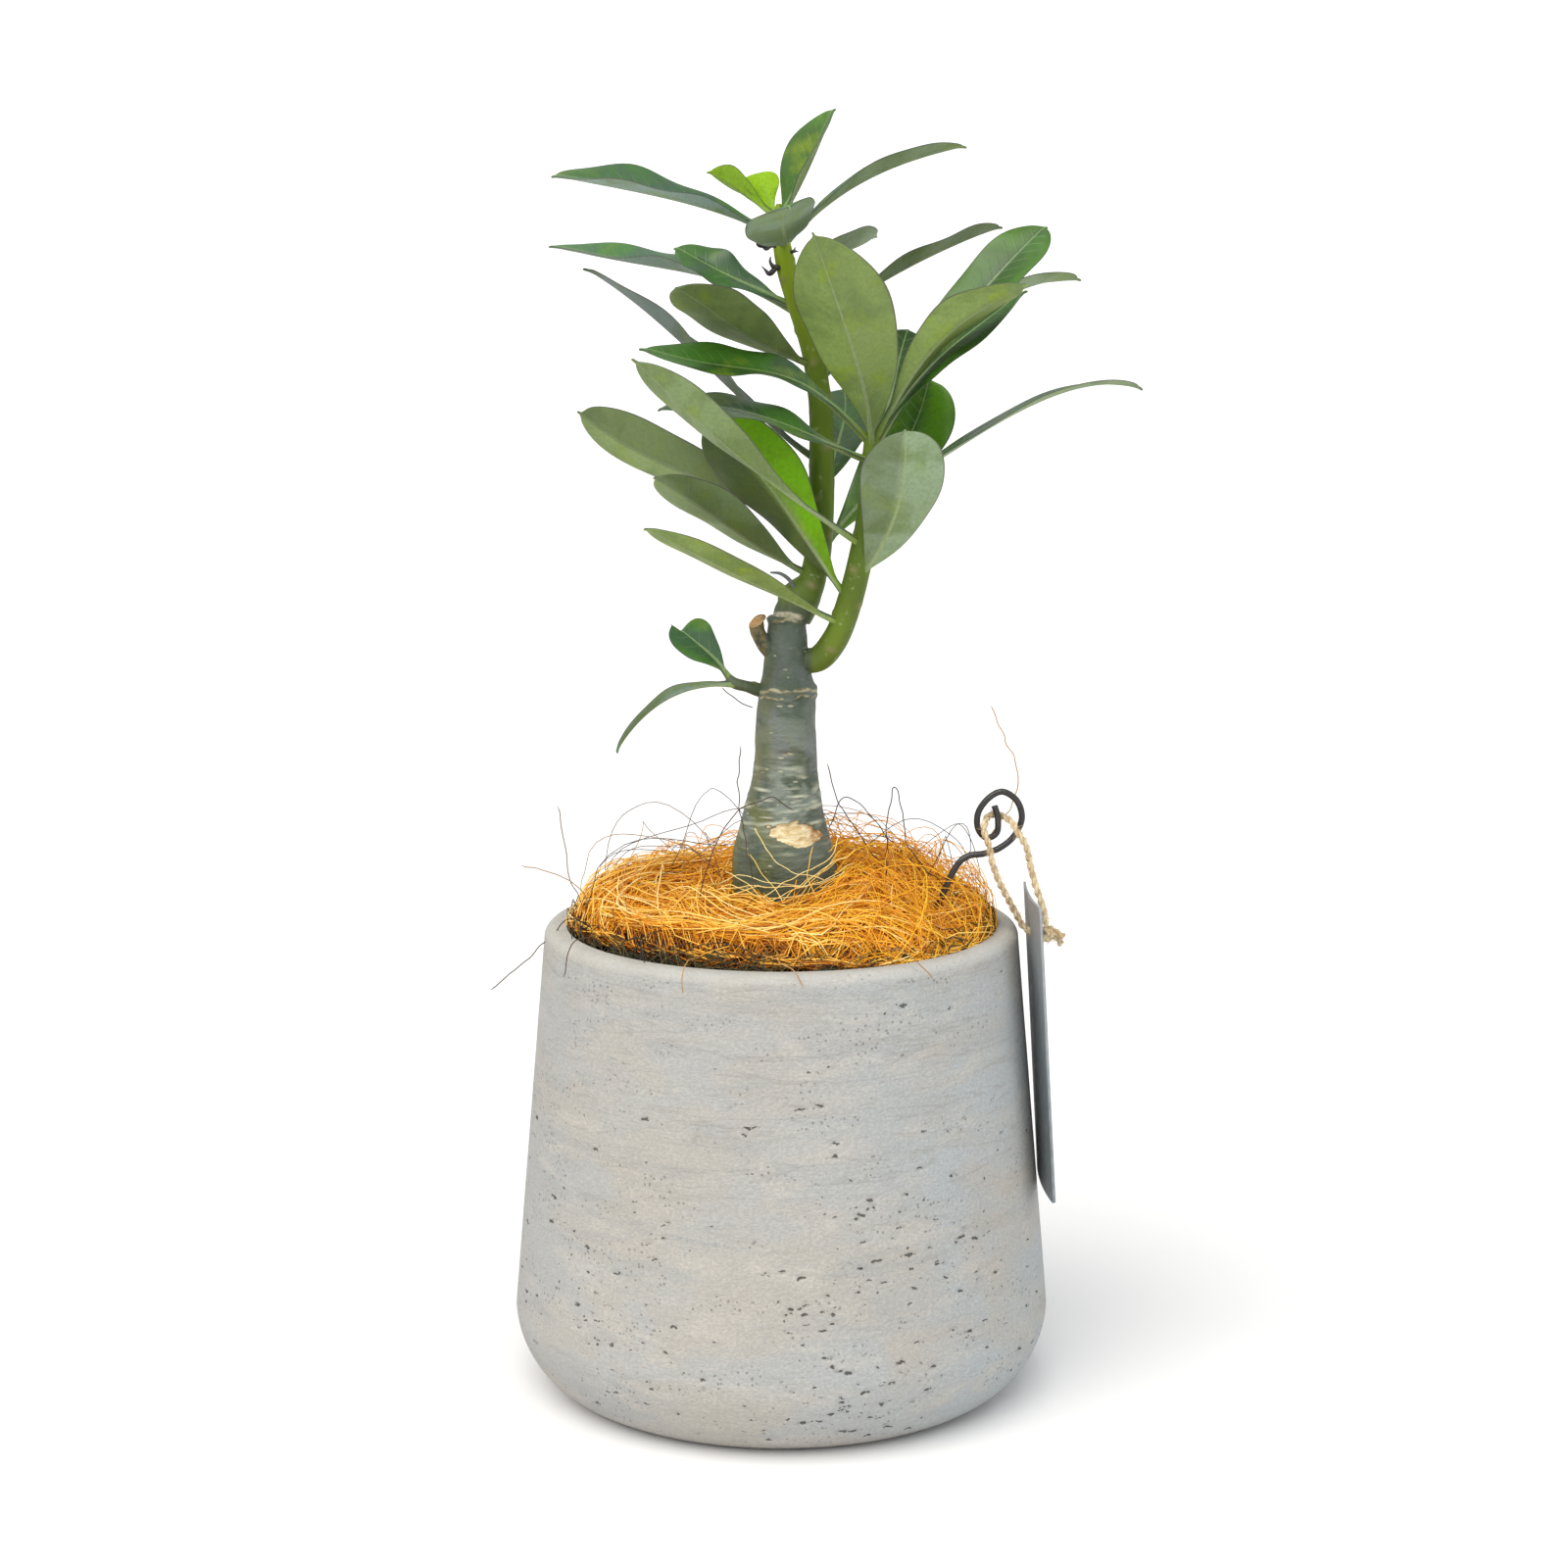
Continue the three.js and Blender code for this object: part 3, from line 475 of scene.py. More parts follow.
soil = soil_material()
soil_edge = POT_MOUTH_RADIUS + 0.66 - SOIL_GAP
soil_under = [(3, POT_FLOOR + SOIL_GAP)]
soil_under += corner(POT_FOOT_RADIUS - 3 - SOIL_GAP, POT_WIDE_RADIUS - POT_WALL - SOIL_GAP,
                     POT_FLOOR + SOIL_GAP, POT_WIDE_AT, 6)
soil_top = spaced([(soil_edge, SOIL_TOP), (2, SOIL_TOP)], 1.6)
soil_rows = turned(soil_under + soil_top, SOIL_SIDES)
for row in soil_rows[len(soil_under):]:
    for point in row:
        rough = noise.fractal(Vector(point) * 0.16, 0.7, 2.0, 4)
        point[2] += 1.1 * rough - 0.4
soil_body = new_piece("potting_soil", *bundle([soil_rows]), soil)
run_tree(soil_body, crumb_tree(), Soil=soil)
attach(soil_body, "root")
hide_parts("soil")

# ----------------------------------------------------------------------- trunk
# The swollen grey stem that stores water. Fine wrinkles run round it above the foot.
# It has a pale cut scar low in front, ring scars where older shoots were taken off,
# small pale pores, and the stub of a pruned shoot on the left.
TRUNK = [  # x, y, z, radius
    (0, 0, 90, 9), (0, 0, 102, 14), (0.5, 0, 118, 16), (0.8, 0, 128, 15.3), (1, 0, 134, 14.3),
    (0.8, 0, 140, 14.2), (0.5, 0, 146, 13.4), (0.4, 0, 152, 11.9), (0.6, 0, 158, 10.4),
    (1.1, 0, 169.5, 8.5), (1.2, 0, 181.5, 7.9), (1.5, 0, 187, 7.8), (1.6, 0, 189, 8),
    (1.6, 0, 190.6, 7.5), (1.5, 0, 193.5, 6.5), (1.5, 0, 199, 5.7), (1.6, 0, 205, 5.1),
    (1.6, 0, 207.2, 5), (1.6, 0, 208.4, 5.25), (1.6, 0, 209.4, 4.6),
]
STUB = [(-1, 0, 199, 2.5), (-3.6, -1.2, 201, 2.3), (-5.5, -2, 203.8, 2), (-6.5, -2.5, 206.6, 2),
        (-6.7, -3, 210.5, 2.1)]
STUB_CUT_AT = (-6.6, -2.7, 208)
STUB_CUT_FACES = (-0.4, -0.45, 0.8)
CUT_SCAR = (4.1, 152.4, 7.6, 3.1)       # x, z, half width, half height
UPPER_RINGS = ((188.4, 0.4), (190.2, 0.6), (208.2, 0.6))        # z, half height
CRACK = (2, 173.6, 2.6, 0.5)            # x, z, half width, half height
WRINKLES_AT = 159
WRINKLES_SPREAD = 9
ROOTS_END = 157          # where the swellings over the roots have faded out
ROOTS_FADE = 40


def smooth_line(points, parts):
    """A Catmull-Rom line through points of any length, with parts steps a stretch."""
    p = np.asarray(points, float)
    p = np.vstack([2 * p[0] - p[1], p, 2 * p[-1] - p[-2]])
    made = []
    for k in range(1, len(p) - 2):
        for t in np.arange(parts) / parts:
            made.append(0.5 * (2 * p[k] + (p[k + 1] - p[k - 1]) * t
                               + (2 * p[k - 1] - 5 * p[k] + 4 * p[k + 1] - p[k + 2]) * t ** 2
                               + (3 * p[k] - p[k - 1] - 3 * p[k + 1] + p[k + 2]) * t ** 3))
    return np.vstack([made, p[-2]])


def unit(vectors):
    """Each vector at length one."""
    return vectors / np.linalg.norm(vectors, axis=-1)[..., None]


def run_along(line):
    """How far along a line each of its points is."""
    return np.concatenate([[0], np.cumsum(np.linalg.norm(np.diff(line, axis=0), axis=1))])


def rings_along(line, sides, reference=(0, 1, 0)):
    """Round loops about rows of x, y, z, radius."""
    centre = line[:, :3]
    along = unit(np.gradient(centre, axis=0))
    across = unit(np.cross(reference, along))
    other = np.cross(along, across)
    turn = np.arange(sides) / sides * 2 * math.pi
    return centre[:, None] + line[:, 3, None, None] * (
        across[:, None] * np.cos(turn)[None, :, None] + other[:, None] * np.sin(turn)[None, :, None])


def store(piece, label, values):
    """Stores a number for each point of a piece, for its material to read."""
    layer = piece.data.attributes.new(label, "FLOAT", "POINT")
    layer.data.foreach_set("value", np.asarray(values, np.float32).ravel())


def read(label):
    """The factor of a stored attribute in a material."""
    return add_node("ShaderNodeAttribute", attribute_name=label)["Fac"]


def bark_point(point, turn, z):
    """The bark's relief at a point of the trunk: (outward shift, scar, ring, wrinkle)."""
    front = max(0.0, -math.sin(turn))
    scar_x, scar_z, scar_w, scar_h = CUT_SCAR
    aside = abs(point[0] - scar_x) / scar_w
    up = abs(point[2] - scar_z - 0.12 * (scar_x - point[0])) / scar_h
    far = (aside ** 1.5 + up ** 1.5) ** (1 / 1.5)
    edge = 0.3 * noise.noise(Vector((point[0] * 0.4, 0, point[2] * 1.1)))
    scar = min(1.0, max(0.0, (1.08 + edge - far) / 0.16)) if front > 0.2 else 0.0
    ring = 0.0
    for at, high in UPPER_RINGS:
        wobble = 1.3 * noise.noise(Vector((math.cos(turn), math.sin(turn), at)) * 1.3)
        wobble += 0.6 * noise.noise(Vector((math.cos(turn), math.sin(turn), at)) * 4)
        ring = max(ring, math.exp(-((z - at - wobble) / high) ** 2))
    crack_x, crack_z, crack_w, crack_h = CRACK
    crack = math.exp(-(((point[0] - crack_x) / crack_w) ** 2 + ((z - crack_z) / crack_h) ** 2)) * front
    band = math.exp(-((z - WRINKLES_AT) / WRINKLES_SPREAD) ** 2) * (0.35 + 0.65 * front)
    drawn = noise.noise(Vector((math.cos(turn) * 1.5, math.sin(turn) * 1.5, z * 0.9)))
    fine = noise.noise(Vector((math.cos(turn) * 2.6 + 9, math.sin(turn) * 2.6, z * 2.1)))
    wrinkle = 2.2 * max(0.0, drawn - 0.1) * band + 1.1 * max(0.0, fine - 0.25) * (0.08 + band)
    lump = noise.fractal(Vector(point) * 0.1, 0.9, 2.0, 3)
    shift = 0.32 * lump + 0.45 * wrinkle - 0.55 * scar + 0.35 * ring - 0.6 * crack
    return shift, scar, max(ring, crack), wrinkle


def bark_material():
    material, shader, place = new_material("bark", 0.6)
    axis = split(place)
    tone = blend(mottled(place, 90, 0.35, 0.65, (1, 1, 1.3)), (0.045, 0.068, 0.042), (0.09, 0.115, 0.09))
    olive = mottled(place, 70, 0.46, 0.62) * ramp(axis["X"], 3 * MM, -7 * MM, 0.25, 0.8)
    tone = blend(olive, tone, (0.11, 0.115, 0.025))
    rosy = mottled(place, 120, 0.5, 0.62, (1, 1, 2)) * (ramp(axis["X"], 0, -8 * MM) * 0.55)
    tone = blend(rosy, tone, (0.16, 0.12, 0.085))
    dark = mottled(place, 65, 0.48, 0.62, (1, 1, 0.8), 6.0, 0.8) * 0.55
    tone = blend(dark, tone, (0.035, 0.06, 0.03))
    lilac = mottled(place, 150, 0.48, 0.62, (1, 1, 0.7)) * ramp(axis["Z"], 160 * MM, 176 * MM, 0.1, 0.55)
    tone = blend(lilac, tone, (0.14, 0.155, 0.17))
    foot = ramp(axis["Z"], 154 * MM, 142 * MM, 0, 0.85) * ramp(axis["X"], 5 * MM, -3 * MM, 0.2, 1.0)
    tone = blend(foot, tone, (0.03, 0.05, 0.018))
    front = ramp(axis["Y"], 0, -9 * MM)
    mid = ramp(axis["Z"], 146 * MM, 160 * MM) * ramp(axis["Z"], 186 * MM, 168 * MM, 0.2, 1.0)
    bloom = mottled(place, 110, 0.42, 0.58, (1, 1, 1.6), 6.0, 0.5) * (front * mid * 0.55 + 0.15)
    tone = blend(bloom, tone, (0.23, 0.265, 0.23))
    moss = mottled(place, 130, 0.44, 0.58, (1, 1, 0.8), 5.0) * ramp(axis["X"], 0, -6.5 * MM, 0.05, 0.7)
    tone = blend(moss, tone, (0.125, 0.135, 0.03))
    high = ramp(axis["Z"], 182 * MM, 196 * MM, 0, 0.5)
    tone = blend(high, tone, (0.035, 0.055, 0.03))
    # Painted highlight: the crests of the wrinkles are painted pale.
    tone = blend(calc("MULTIPLY", read("wrinkle"), 1.6, clamp=True), tone, (0.46, 0.48, 0.36))
    brown = ramp(axis["X"], -3.4 * MM, -4.6 * MM) * ramp(axis["Z"], 197 * MM, 200 * MM)
    bark_brown = blend(mottled(place, 600, 0.4, 0.6), (0.045, 0.045, 0.02), (0.15, 0.12, 0.045))
    tone = blend(brown, tone, bark_brown)
    flat = vector("MULTIPLY", place, (1, 1, 2.8))
    pore = add_node("ShaderNodeTexVoronoi", {"Vector": flat, "Scale": 240.0})
    dot = (pore["Distance"] < 0.2) * mottled(place, 160, 0.52, 0.58)
    tone = blend(dot * 0.65, tone, (0.4, 0.4, 0.27))
    ring_tone = blend(mottled(place, 500, 0.42, 0.6, (1, 1, 2)), (0.44, 0.4, 0.25), (0.17, 0.12, 0.05))
    # Here it is only the real wear of the ring scars, with no painted highlight.
    wear_and_highlight = ramp(read("ring"), 0.3, 0.95, 0.0, 0.85) * mottled(place, 240, 0.36, 0.58, (1, 1, 0.6), 3.0)
    tone = blend(wear_and_highlight, tone, ring_tone)
    scar = read("scar")
    grain = mottled(place, 330, 0.4, 0.62, (1, 1, 3.5), 6.0, 0.8)
    wood = blend(grain, (0.78, 0.68, 0.45), (0.56, 0.42, 0.2))
    rusty = mottled(place, 260, 0.4, 0.52) * ramp(axis["X"], 6.5 * MM, 9 * MM)
    tan = ramp(axis["Z"], 195 * MM, 200 * MM, 0, 0.75)
    wood = blend(calc("MAXIMUM", rusty, tan), wood, (0.36, 0.17, 0.05))
    tone = blend(ramp(scar, 0.25, 0.6), tone, wood)
    rim_of_scar = ramp(scar, 0.02, 0.2) * ramp(scar, 0.5, 0.25)
    tone = blend(rim_of_scar * 0.7, tone, (0.12, 0.1, 0.05))
    plug(shader, "Base Color", tone)
    rough = ramp(scar, 0.2, 0.6, 0.55, 0.85)
    plug(shader, "Roughness", rough)
    bump(shader, mottled(place, 420, 0.25, 0.75, (1, 1, 2.2), 7.0), 0.25 * MM, 0.8)
    return material


def flare(turn, z):
    """Low swellings where the roots leave, fading out up the stem."""
    fade = min(1, max(0, (ROOTS_END - z) / ROOTS_FADE))
    return 1 + fade * (0.05 * math.cos(3 * turn + 0.6) + 0.03 * math.sin(5 * turn))


NOISE_SEED = 7
TRUNK_SIDES = 120
STUB_SIDES = 32
noise.seed_set(NOISE_SEED)
bark = bark_material()
trunk_line = smooth_line(TRUNK, 9)
trunk_levels = np.concatenate([np.arange(90, 124, 1.5), np.arange(124, 209.4, 0.4), [209.4]])
trunk_line = np.stack([np.interp(trunk_levels, trunk_line[:, 2], column) for column in trunk_line.T], 1)
trunk_points, trunk_marks = [], []
for x, y, z, radius in trunk_line:
    for side in range(TRUNK_SIDES):
        turn = side / TRUNK_SIDES * 2 * math.pi
        reach = radius * flare(turn, z)
        point = np.array([x + reach * math.cos(turn), y + reach * math.sin(turn), z])
        shift, *marks = bark_point(point, turn, z)
        point[:2] += shift * np.array([math.cos(turn), math.sin(turn)])
        trunk_points.append(point)
        trunk_marks.append(marks)
trunk_faces = skin_faces(len(trunk_line), TRUNK_SIDES)
stub_line = smooth_line(STUB, 8)
stub_rows = rings_along(stub_line, STUB_SIDES)
stub_rows += 0.12 * np.array([[noise.noise_vector(Vector(p) * 0.8) for p in row] for row in stub_rows])
cut_normal = np.array(STUB_CUT_FACES) / np.linalg.norm(STUB_CUT_FACES)
past_cut = np.maximum(0, (stub_rows - np.array(STUB_CUT_AT)) @ cut_normal)
stub_rows -= past_cut[..., None] * cut_normal
stub_faces = skin_faces(len(stub_rows), STUB_SIDES, len(trunk_points))
trunk = new_piece("grey_trunk", np.vstack([trunk_points, stub_rows.reshape(-1, 3)]),
                  trunk_faces + stub_faces, bark)
stub_cut = np.clip(past_cut.ravel() / 0.2, 0, 0.9)
stub_marks = np.stack([stub_cut, stub_cut * 0, stub_cut * 0], 1)
for column, label in enumerate(("scar", "ring", "wrinkle")):
    store(trunk, label, np.vstack([trunk_marks, stub_marks])[:, column])
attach(trunk, "root")
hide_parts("trunk")

# ---------------------------------------------------------- stems and their leaves
# Green stems carry thick, long leaves, rounded and with a small hooked point.
# They are dark and glossy above and pale and matte beneath, with a pale midrib
# that stands out below, and every leaf grows out of its stem at a height.
PETIOLE_SHARE = 0.07
BLADE_END = 0.985
PETIOLE_RADIUS = 1.05
BLADE_HALF_THICK = 0.375
RIB_DEPTH = 0.6
LEAF_ROWS = 46
LEAF_COLUMNS = 17

# at: height on the stem. third, two_thirds, tip: where the midrib passes. face: the
# way the upper side looks. fold: in degrees. wave: in mm. end: how blunt it is. grey:
# how blue-grey, partly a painted sheen. yellow: how mottled. lit: painted light through
# each half. halves: painted light and shade on each half, as a paleness factor.
# notch: how far the lower lobe passes the tip. base: how slowly the blade widens from its stalk.
Leaf = namedtuple(
    "Leaf", "at third two_thirds tip face width fold wave end grey yellow lit young halves notch base",
    defaults=(18, 1, 0.62, 0.4, 0.5, (0, 0), 0, (1, 1), 0, 1.25))
LEADER = [
    (2, 0, 207.5, 4.4), (2.7, 0, 209.5, 4.9), (3.8, 0, 211.2, 5.3), (4.7, 0, 213.4, 5.5),
    (6.3, 0.1, 215.7, 4.8), (7.9, 0.2, 218.2, 3.8), (8.7, 0.3, 221, 3.5), (9.8, 0.5, 227, 3.5),
    (10.5, 0.6, 238, 3.4), (10.6, 0.8, 250, 3.3), (10.4, 0.9, 262, 3.1), (9.6, 0.9, 270, 3),
    (7.8, 0.8, 280, 2.9), (4, 0.5, 291.5, 2.75), (1.6, 0.3, 299, 2.6), (0.2, 0, 306, 2.3),
    (-0.3, 0, 311, 1.5),
]
LEADER_LEAVES = [
    Leaf(308, (-17.5, -9, 315.2), (-37, -17, 319.8), (-57.5, -24, 323.5), (0.33, -0.22, 0.92), 15, 33, 1,
         grey=1.5, yellow=0.5, halves=(1.1, 0.8)),
    Leaf(307, (0.8, -20, 308), (0.2, -38, 312.3), (2, -54, 315.5), (-0.38, 0.2, 0.9), 19, 9, 0.4,
         grey=1.2, base=0.9),
    Leaf(306, (15, 9, 319), (31, 17, 327), (49, 24, 332), (-0.38, 0.04, 0.93), 14, 24, 0.3, grey=0.7),
    Leaf(296, (8.5, 14, 302), (17, 28, 304.6), (25.5, 40, 308.6),
         (-0.5, 0.13, 0.85), 16, 20, 0.3, grey=0.8),
    Leaf(288, (-15.5, 16, 297), (-36.5, 28, 301), (-63, 38, 306), (0.06, -0.2, 0.97), 15, 26, 1.2,
         grey=1.4, yellow=0.2),
    Leaf(290, (-8.5, 3, 295.5), (-18, 5, 300), (-28, 8, 305.5), (0.17, -0.68, 0.72), 12.5, 15, grey=0.6),
    Leaf(275, (-7.3, -12, 282.8), (-17, -23, 289.6), (-26.5, -33, 296), (0, 0.48, 0.88), 19, 12, 0.4, 0.5,
         grey=0.1, yellow=0.8, halves=(0.72, 0.76), base=0.75),
    Leaf(284, (24, 10, 295.5), (42, 20, 304.5), (59, 30, 311), (-0.48, 0.19, 0.86), 12, 20, 0.8, grey=0.5,
         halves=(0.8, 0.7)),
    Leaf(250, (-9, 10, 265), (-30, 24, 283.5), (-53.5, 38, 300), (0.61, 0.09, 0.78), 14, 20, grey=1.6,
         halves=(0.5, 1)),
    Leaf(230, (-11.5, 4, 241.5), (-33, 10, 250), (-54, 16, 262.5), (0.47, 0.69, 0.54), 20, 15, 0.3, 0.5,
         grey=0.3, halves=(0.66, 1.12)),
    Leaf(220, (-5, -6, 228), (-17.5, -14, 237.5), (-32.5, -22, 248), (0.21, 0.6, 0.77), 18, 15, 0.3, 0.5,
         grey=0.5, halves=(0.7, 1.05)),
    Leaf(223, (20, 10, 237), (32, 20, 251), (40, 28, 271), (-0.3, -0.9, 0.3), 22, 10, end=0.5, grey=0.1,
         lit=(0.3, 0.5), base=1.7),
    Leaf(240, (14, 15, 250), (17, 31, 259), (17, 46, 267), (0, -0.6, 0.8), 18, 14),
    Leaf(269, (13, 14, 277), (14, 28, 286), (14, 41, 295), (0, -0.6, 0.8), 17, 14),
]
BRANCH = [
    (3.5, -0.2, 197.6, 3.2), (5.5, -0.4, 197.5, 3.3), (9, -0.8, 197.7, 3.4), (11.4, -1.6, 199.4, 3.5),
    (13.9, -3, 203, 3.5), (15.8, -4, 207, 3.4), (17.7, -5.5, 213, 3.4), (19.3, -7, 219, 3.3),
    (20.9, -8, 226.3, 3.2), (22.1, -9, 233, 3.1), (23.1, -9.5, 241.5, 3), (23.6, -10, 250, 2.8),
    (23.6, -10, 256, 2.2), (23.5, -10, 260, 1.2),
]
BRANCH_LEAVES = [
    Leaf(253, (21.2, -20, 270), (15.6, -29, 288), (8, -33, 309.3), (0.35, 1, 0.3), 26, 16, 1, 0.66, 0.1,
         0.9, halves=(0.9, 1.12)),
    Leaf(255, (4.5, -14, 271), (-12, -17, 275), (-36, -20, 280.5), (0.26, -0.41, 0.87), 16, 20, grey=0.1),
    Leaf(251, (7, -17, 258), (-10.5, -17, 264), (-32, -11, 264.5), (0.1, -0.32, 0.94), 16, 10, grey=0.3),
    Leaf(229, (2, -26, 243.5), (-15.5, -38, 258.5), (-36.5, -47, 279), (0.35, 0.59, 0.73), 16, 22, 0.4,
         0.7, grey=0.5, base=2.6),
    Leaf(214, (6, -9, 231.5), (-6, -9, 248), (-20.5, -8, 260), (0.36, 0.88, 0.32), 23, 12,
         end=0.5, grey=0, yellow=0.8, lit=(0.9, 0.15), halves=(1, 0.42)),
    Leaf(208, (-0.5, -16, 217), (-18.5, -26, 227), (-34.5, -34, 236), (0.27, 0.42, 0.87), 15, 10, 0.2,
         0.7, grey=0.1, yellow=1, halves=(1.2, 1.15)),
    Leaf(256, (39, -4, 278), (56, 5, 297.5), (70, 14, 311), (-0.12, -0.66, 0.74), 16.5, 14, grey=0.2,
         yellow=0, lit=(0.3, 0.12), halves=(0.8, 0.95)),
    Leaf(256, (35.3, -18, 276), (46, -27, 287.5), (61, -36, 297), (-0.25, 0.55, 0.8), 16.5, 20, 0.5,
         grey=0.1, yellow=0.8, halves=(0.85, 1.15)),
    Leaf(254, (36.5, -13, 273), (48.5, -16, 284), (62, -20, 295), (-0.45, -0.35, 0.6), 15, 2, 0.3,
         0.8, grey=0, yellow=0.3),
    Leaf(252, (37, 2, 275), (57, 16, 291.5), (81, 36, 297), (-0.38, 0.14, 0.92), 13, 15, 0.6, grey=0.8),
    Leaf(242, (45, 0, 253.5), (71, 14, 266.3), (97.5, 26, 268),
         (-0.26, 0.05, 0.96), 12, 8, 0.3, grey=0.7),
    Leaf(219, (27.5, -16, 233), (31, -25, 246.8), (31, -32, 260.6), (-0.1, 0.95, 0.35), 22, 12, 0.6,
         0.52, 1, 0.4, halves=(1.1, 0.78), base=1),
    Leaf(246, (28, 2, 264), (31, 14, 275), (34, 24, 284), (0, -0.8, 0.5), 16, 12, grey=0.1),
]
TIP_STEM = [
    (-0.3, 0, 309.5, 1.5), (-0.3, 0.1, 311.4, 1.4), (-0.5, 0.4, 314, 1.3), (-0.7, 0.8, 316.4, 0.7),
]
TIP_LEAVES = [
    Leaf(313, (-8.5, 3, 318.6), (-13.5, 6, 322), (-19, 9, 325), (0.63, 0.45, 0.64), 11, 20, 0.1, 0.9,
         yellow=1, lit=(0.5, 0.5), young=0.75),
    Leaf(313, (-3.5, 2.5, 317.5), (-5, 4, 321), (-6.5, 6, 324.5), (0.19, -0.84, 0.5), 10, 10, 0.3, 0.4,
         young=1, lit=(1, 1)),
    Leaf(313, (4.4, -4, 321), (8.8, -7, 330), (13.2, -10, 340.3), (-0.84, -0.36, 0.29), 18, 30, 0.1,
         0.7, grey=0.4, yellow=0.8, young=0.1, base=0.7),
]
TWIG = [(-5, -1.4, 189.6, 1.9), (-6.6, -2, 190, 1.8), (-9.2, -3.6, 191, 1.5), (-12.2, -4.8, 192, 1.5),
        (-14, -5, 193.6, 1.1)]
TWIG_LEAVES = [
    Leaf(191.9, (-21, -9, 192), (-32, -13, 188), (-43.5, -16, 175.5), (-0.63, 0.34, 0.7), 5.5, 25, 0.4,
         grey=1.5),
    Leaf(193, (-17.6, -6.5, 198.6), (-21.8, -8.5, 202.8), (-26.2, -10, 206.7), (0.59, -0.76, 0.28), 12.5,
         18, 0.3, 0.35, grey=0.7, notch=3),
]


def point_on(stem, height):
    """The point on a stem's centre line at a height."""
    for (x0, y0, z0, _), (x1, y1, z1, _) in zip(stem, stem[1:]):
        if z1 >= height:
            share = (height - z0) / (z1 - z0)
            return np.array([x0 + (x1 - x0) * share, y0 + (y1 - y0) * share, height])
    return np.array(stem[-1][:3])


def leaf_skin(stem, leaf):
    """Rows of loops over a leaf, and what its material reads at each point."""
    root, third, two_thirds, tip = (np.array(p, float) for p in (
        point_on(stem, leaf.at), leaf.third, leaf.two_thirds, leaf.tip))
    handle_out = (-5 * root + 18 * third - 9 * two_thirds + 2 * tip) / 6
    handle_in = (2 * root - 9 * third + 18 * two_thirds - 5 * tip) / 6
    share = np.sin(np.linspace(0, 1, LEAF_ROWS) * math.pi / 2) ** 1.15
    t = share[:, None]
    centre = ((1 - t) ** 3 * root + 3 * (1 - t) ** 2 * t * handle_out
              + 3 * (1 - t) * t ** 2 * handle_in + t ** 3 * tip)
    along = unit(np.gradient(centre, axis=0))
    across = unit(np.cross(along, np.array(leaf.face, float)))
    over = np.cross(across, along)
    blade = np.clip((share - PETIOLE_SHARE) / (BLADE_END - PETIOLE_SHARE), 0, 1)
    peak = leaf.base / (leaf.base + leaf.end)
    widest = peak ** leaf.base * (1 - peak) ** leaf.end
    half = leaf.width / 2 * blade ** leaf.base * (1 - blade) ** leaf.end / widest
    half = np.maximum(half, PETIOLE_RADIUS + (0.3 - PETIOLE_RADIUS) * share ** 0.5)
    half[-1] = 0.12
    opened = np.sin(math.pi * share) ** 0.6
    tilt = np.radians(leaf.fold) * opened
    skin = PETIOLE_RADIUS * 0.8 + (BLADE_HALF_THICK - PETIOLE_RADIUS * 0.8) * np.minimum(1, share / 0.2)
    skin[-3:] *= (0.8, 0.5, 0.25)
    column = np.sin(np.linspace(-1, 1, LEAF_COLUMNS) * math.pi / 2)
    loops = []
    for side in (1, -1):
        out = column if side > 0 else column[::-1]
        offset = half[:, None] * out
        ripple = (leaf.wave * opened * half / (leaf.width / 2))[:, None] * out ** 2 * np.sin(
            share[:, None] * 15 + leaf.at * 1.7 + np.where(out > 0, 1.9, 0))
        thick = skin[:, None] * (1 - 0.8 * np.abs(out) ** 5)
        rib = np.exp(-(offset / 0.75) ** 2) * (1 - share)[:, None]
        groove = rib * (-0.18 if side > 0 else -RIB_DEPTH)
        lift = np.abs(offset) * np.sin(tilt)[:, None] + ripple + side * thick + groove
        hook = 0.7 * np.clip((share - 0.95) / 0.05, 0, 1) ** 2
        ahead = leaf.notch * np.minimum(out, 0) ** 2 * (blade ** 4)[:, None]
        loops.append(centre[:, None]
                     + across[:, None] * (offset * np.cos(tilt)[:, None])[..., None]
                     + over[:, None] * (lift - hook[:, None])[..., None]
                     + along[:, None] * ahead[..., None])
    rows = np.concatenate(loops, axis=1)
    both = np.concatenate([column, column[::-1]])
    length = run_along(centre)
    wide = np.ones((LEAF_ROWS, 1))
    lit = np.where(both > 0, leaf.lit[1], leaf.lit[0]) * np.minimum(1, np.abs(both) * 3)
    marks = {
        "upper": wide * np.repeat([1.0, 0.0], LEAF_COLUMNS),
        "edge": wide * np.abs(both),
        "aside": half[:, None] * both,
        "length": length[:, None] * np.ones(len(both)),
        "share": share[:, None] * np.ones(len(both)),
        "grey": wide * np.full(len(both), leaf.grey),
        "yellow": wide * np.full(len(both), leaf.yellow),
        "lit": wide * lit,
        # Painted light and shade on each half, as a paleness factor.
        "pale": wide * np.where(both > 0, leaf.halves[1], leaf.halves[0]),
        "young": wide * np.full(len(both), leaf.young),
    }
    return rows, marks


def read_colour(label):
    """A stored attribute as a grey colour."""
    return add_node("ShaderNodeAttribute", attribute_name=label)["Color"]


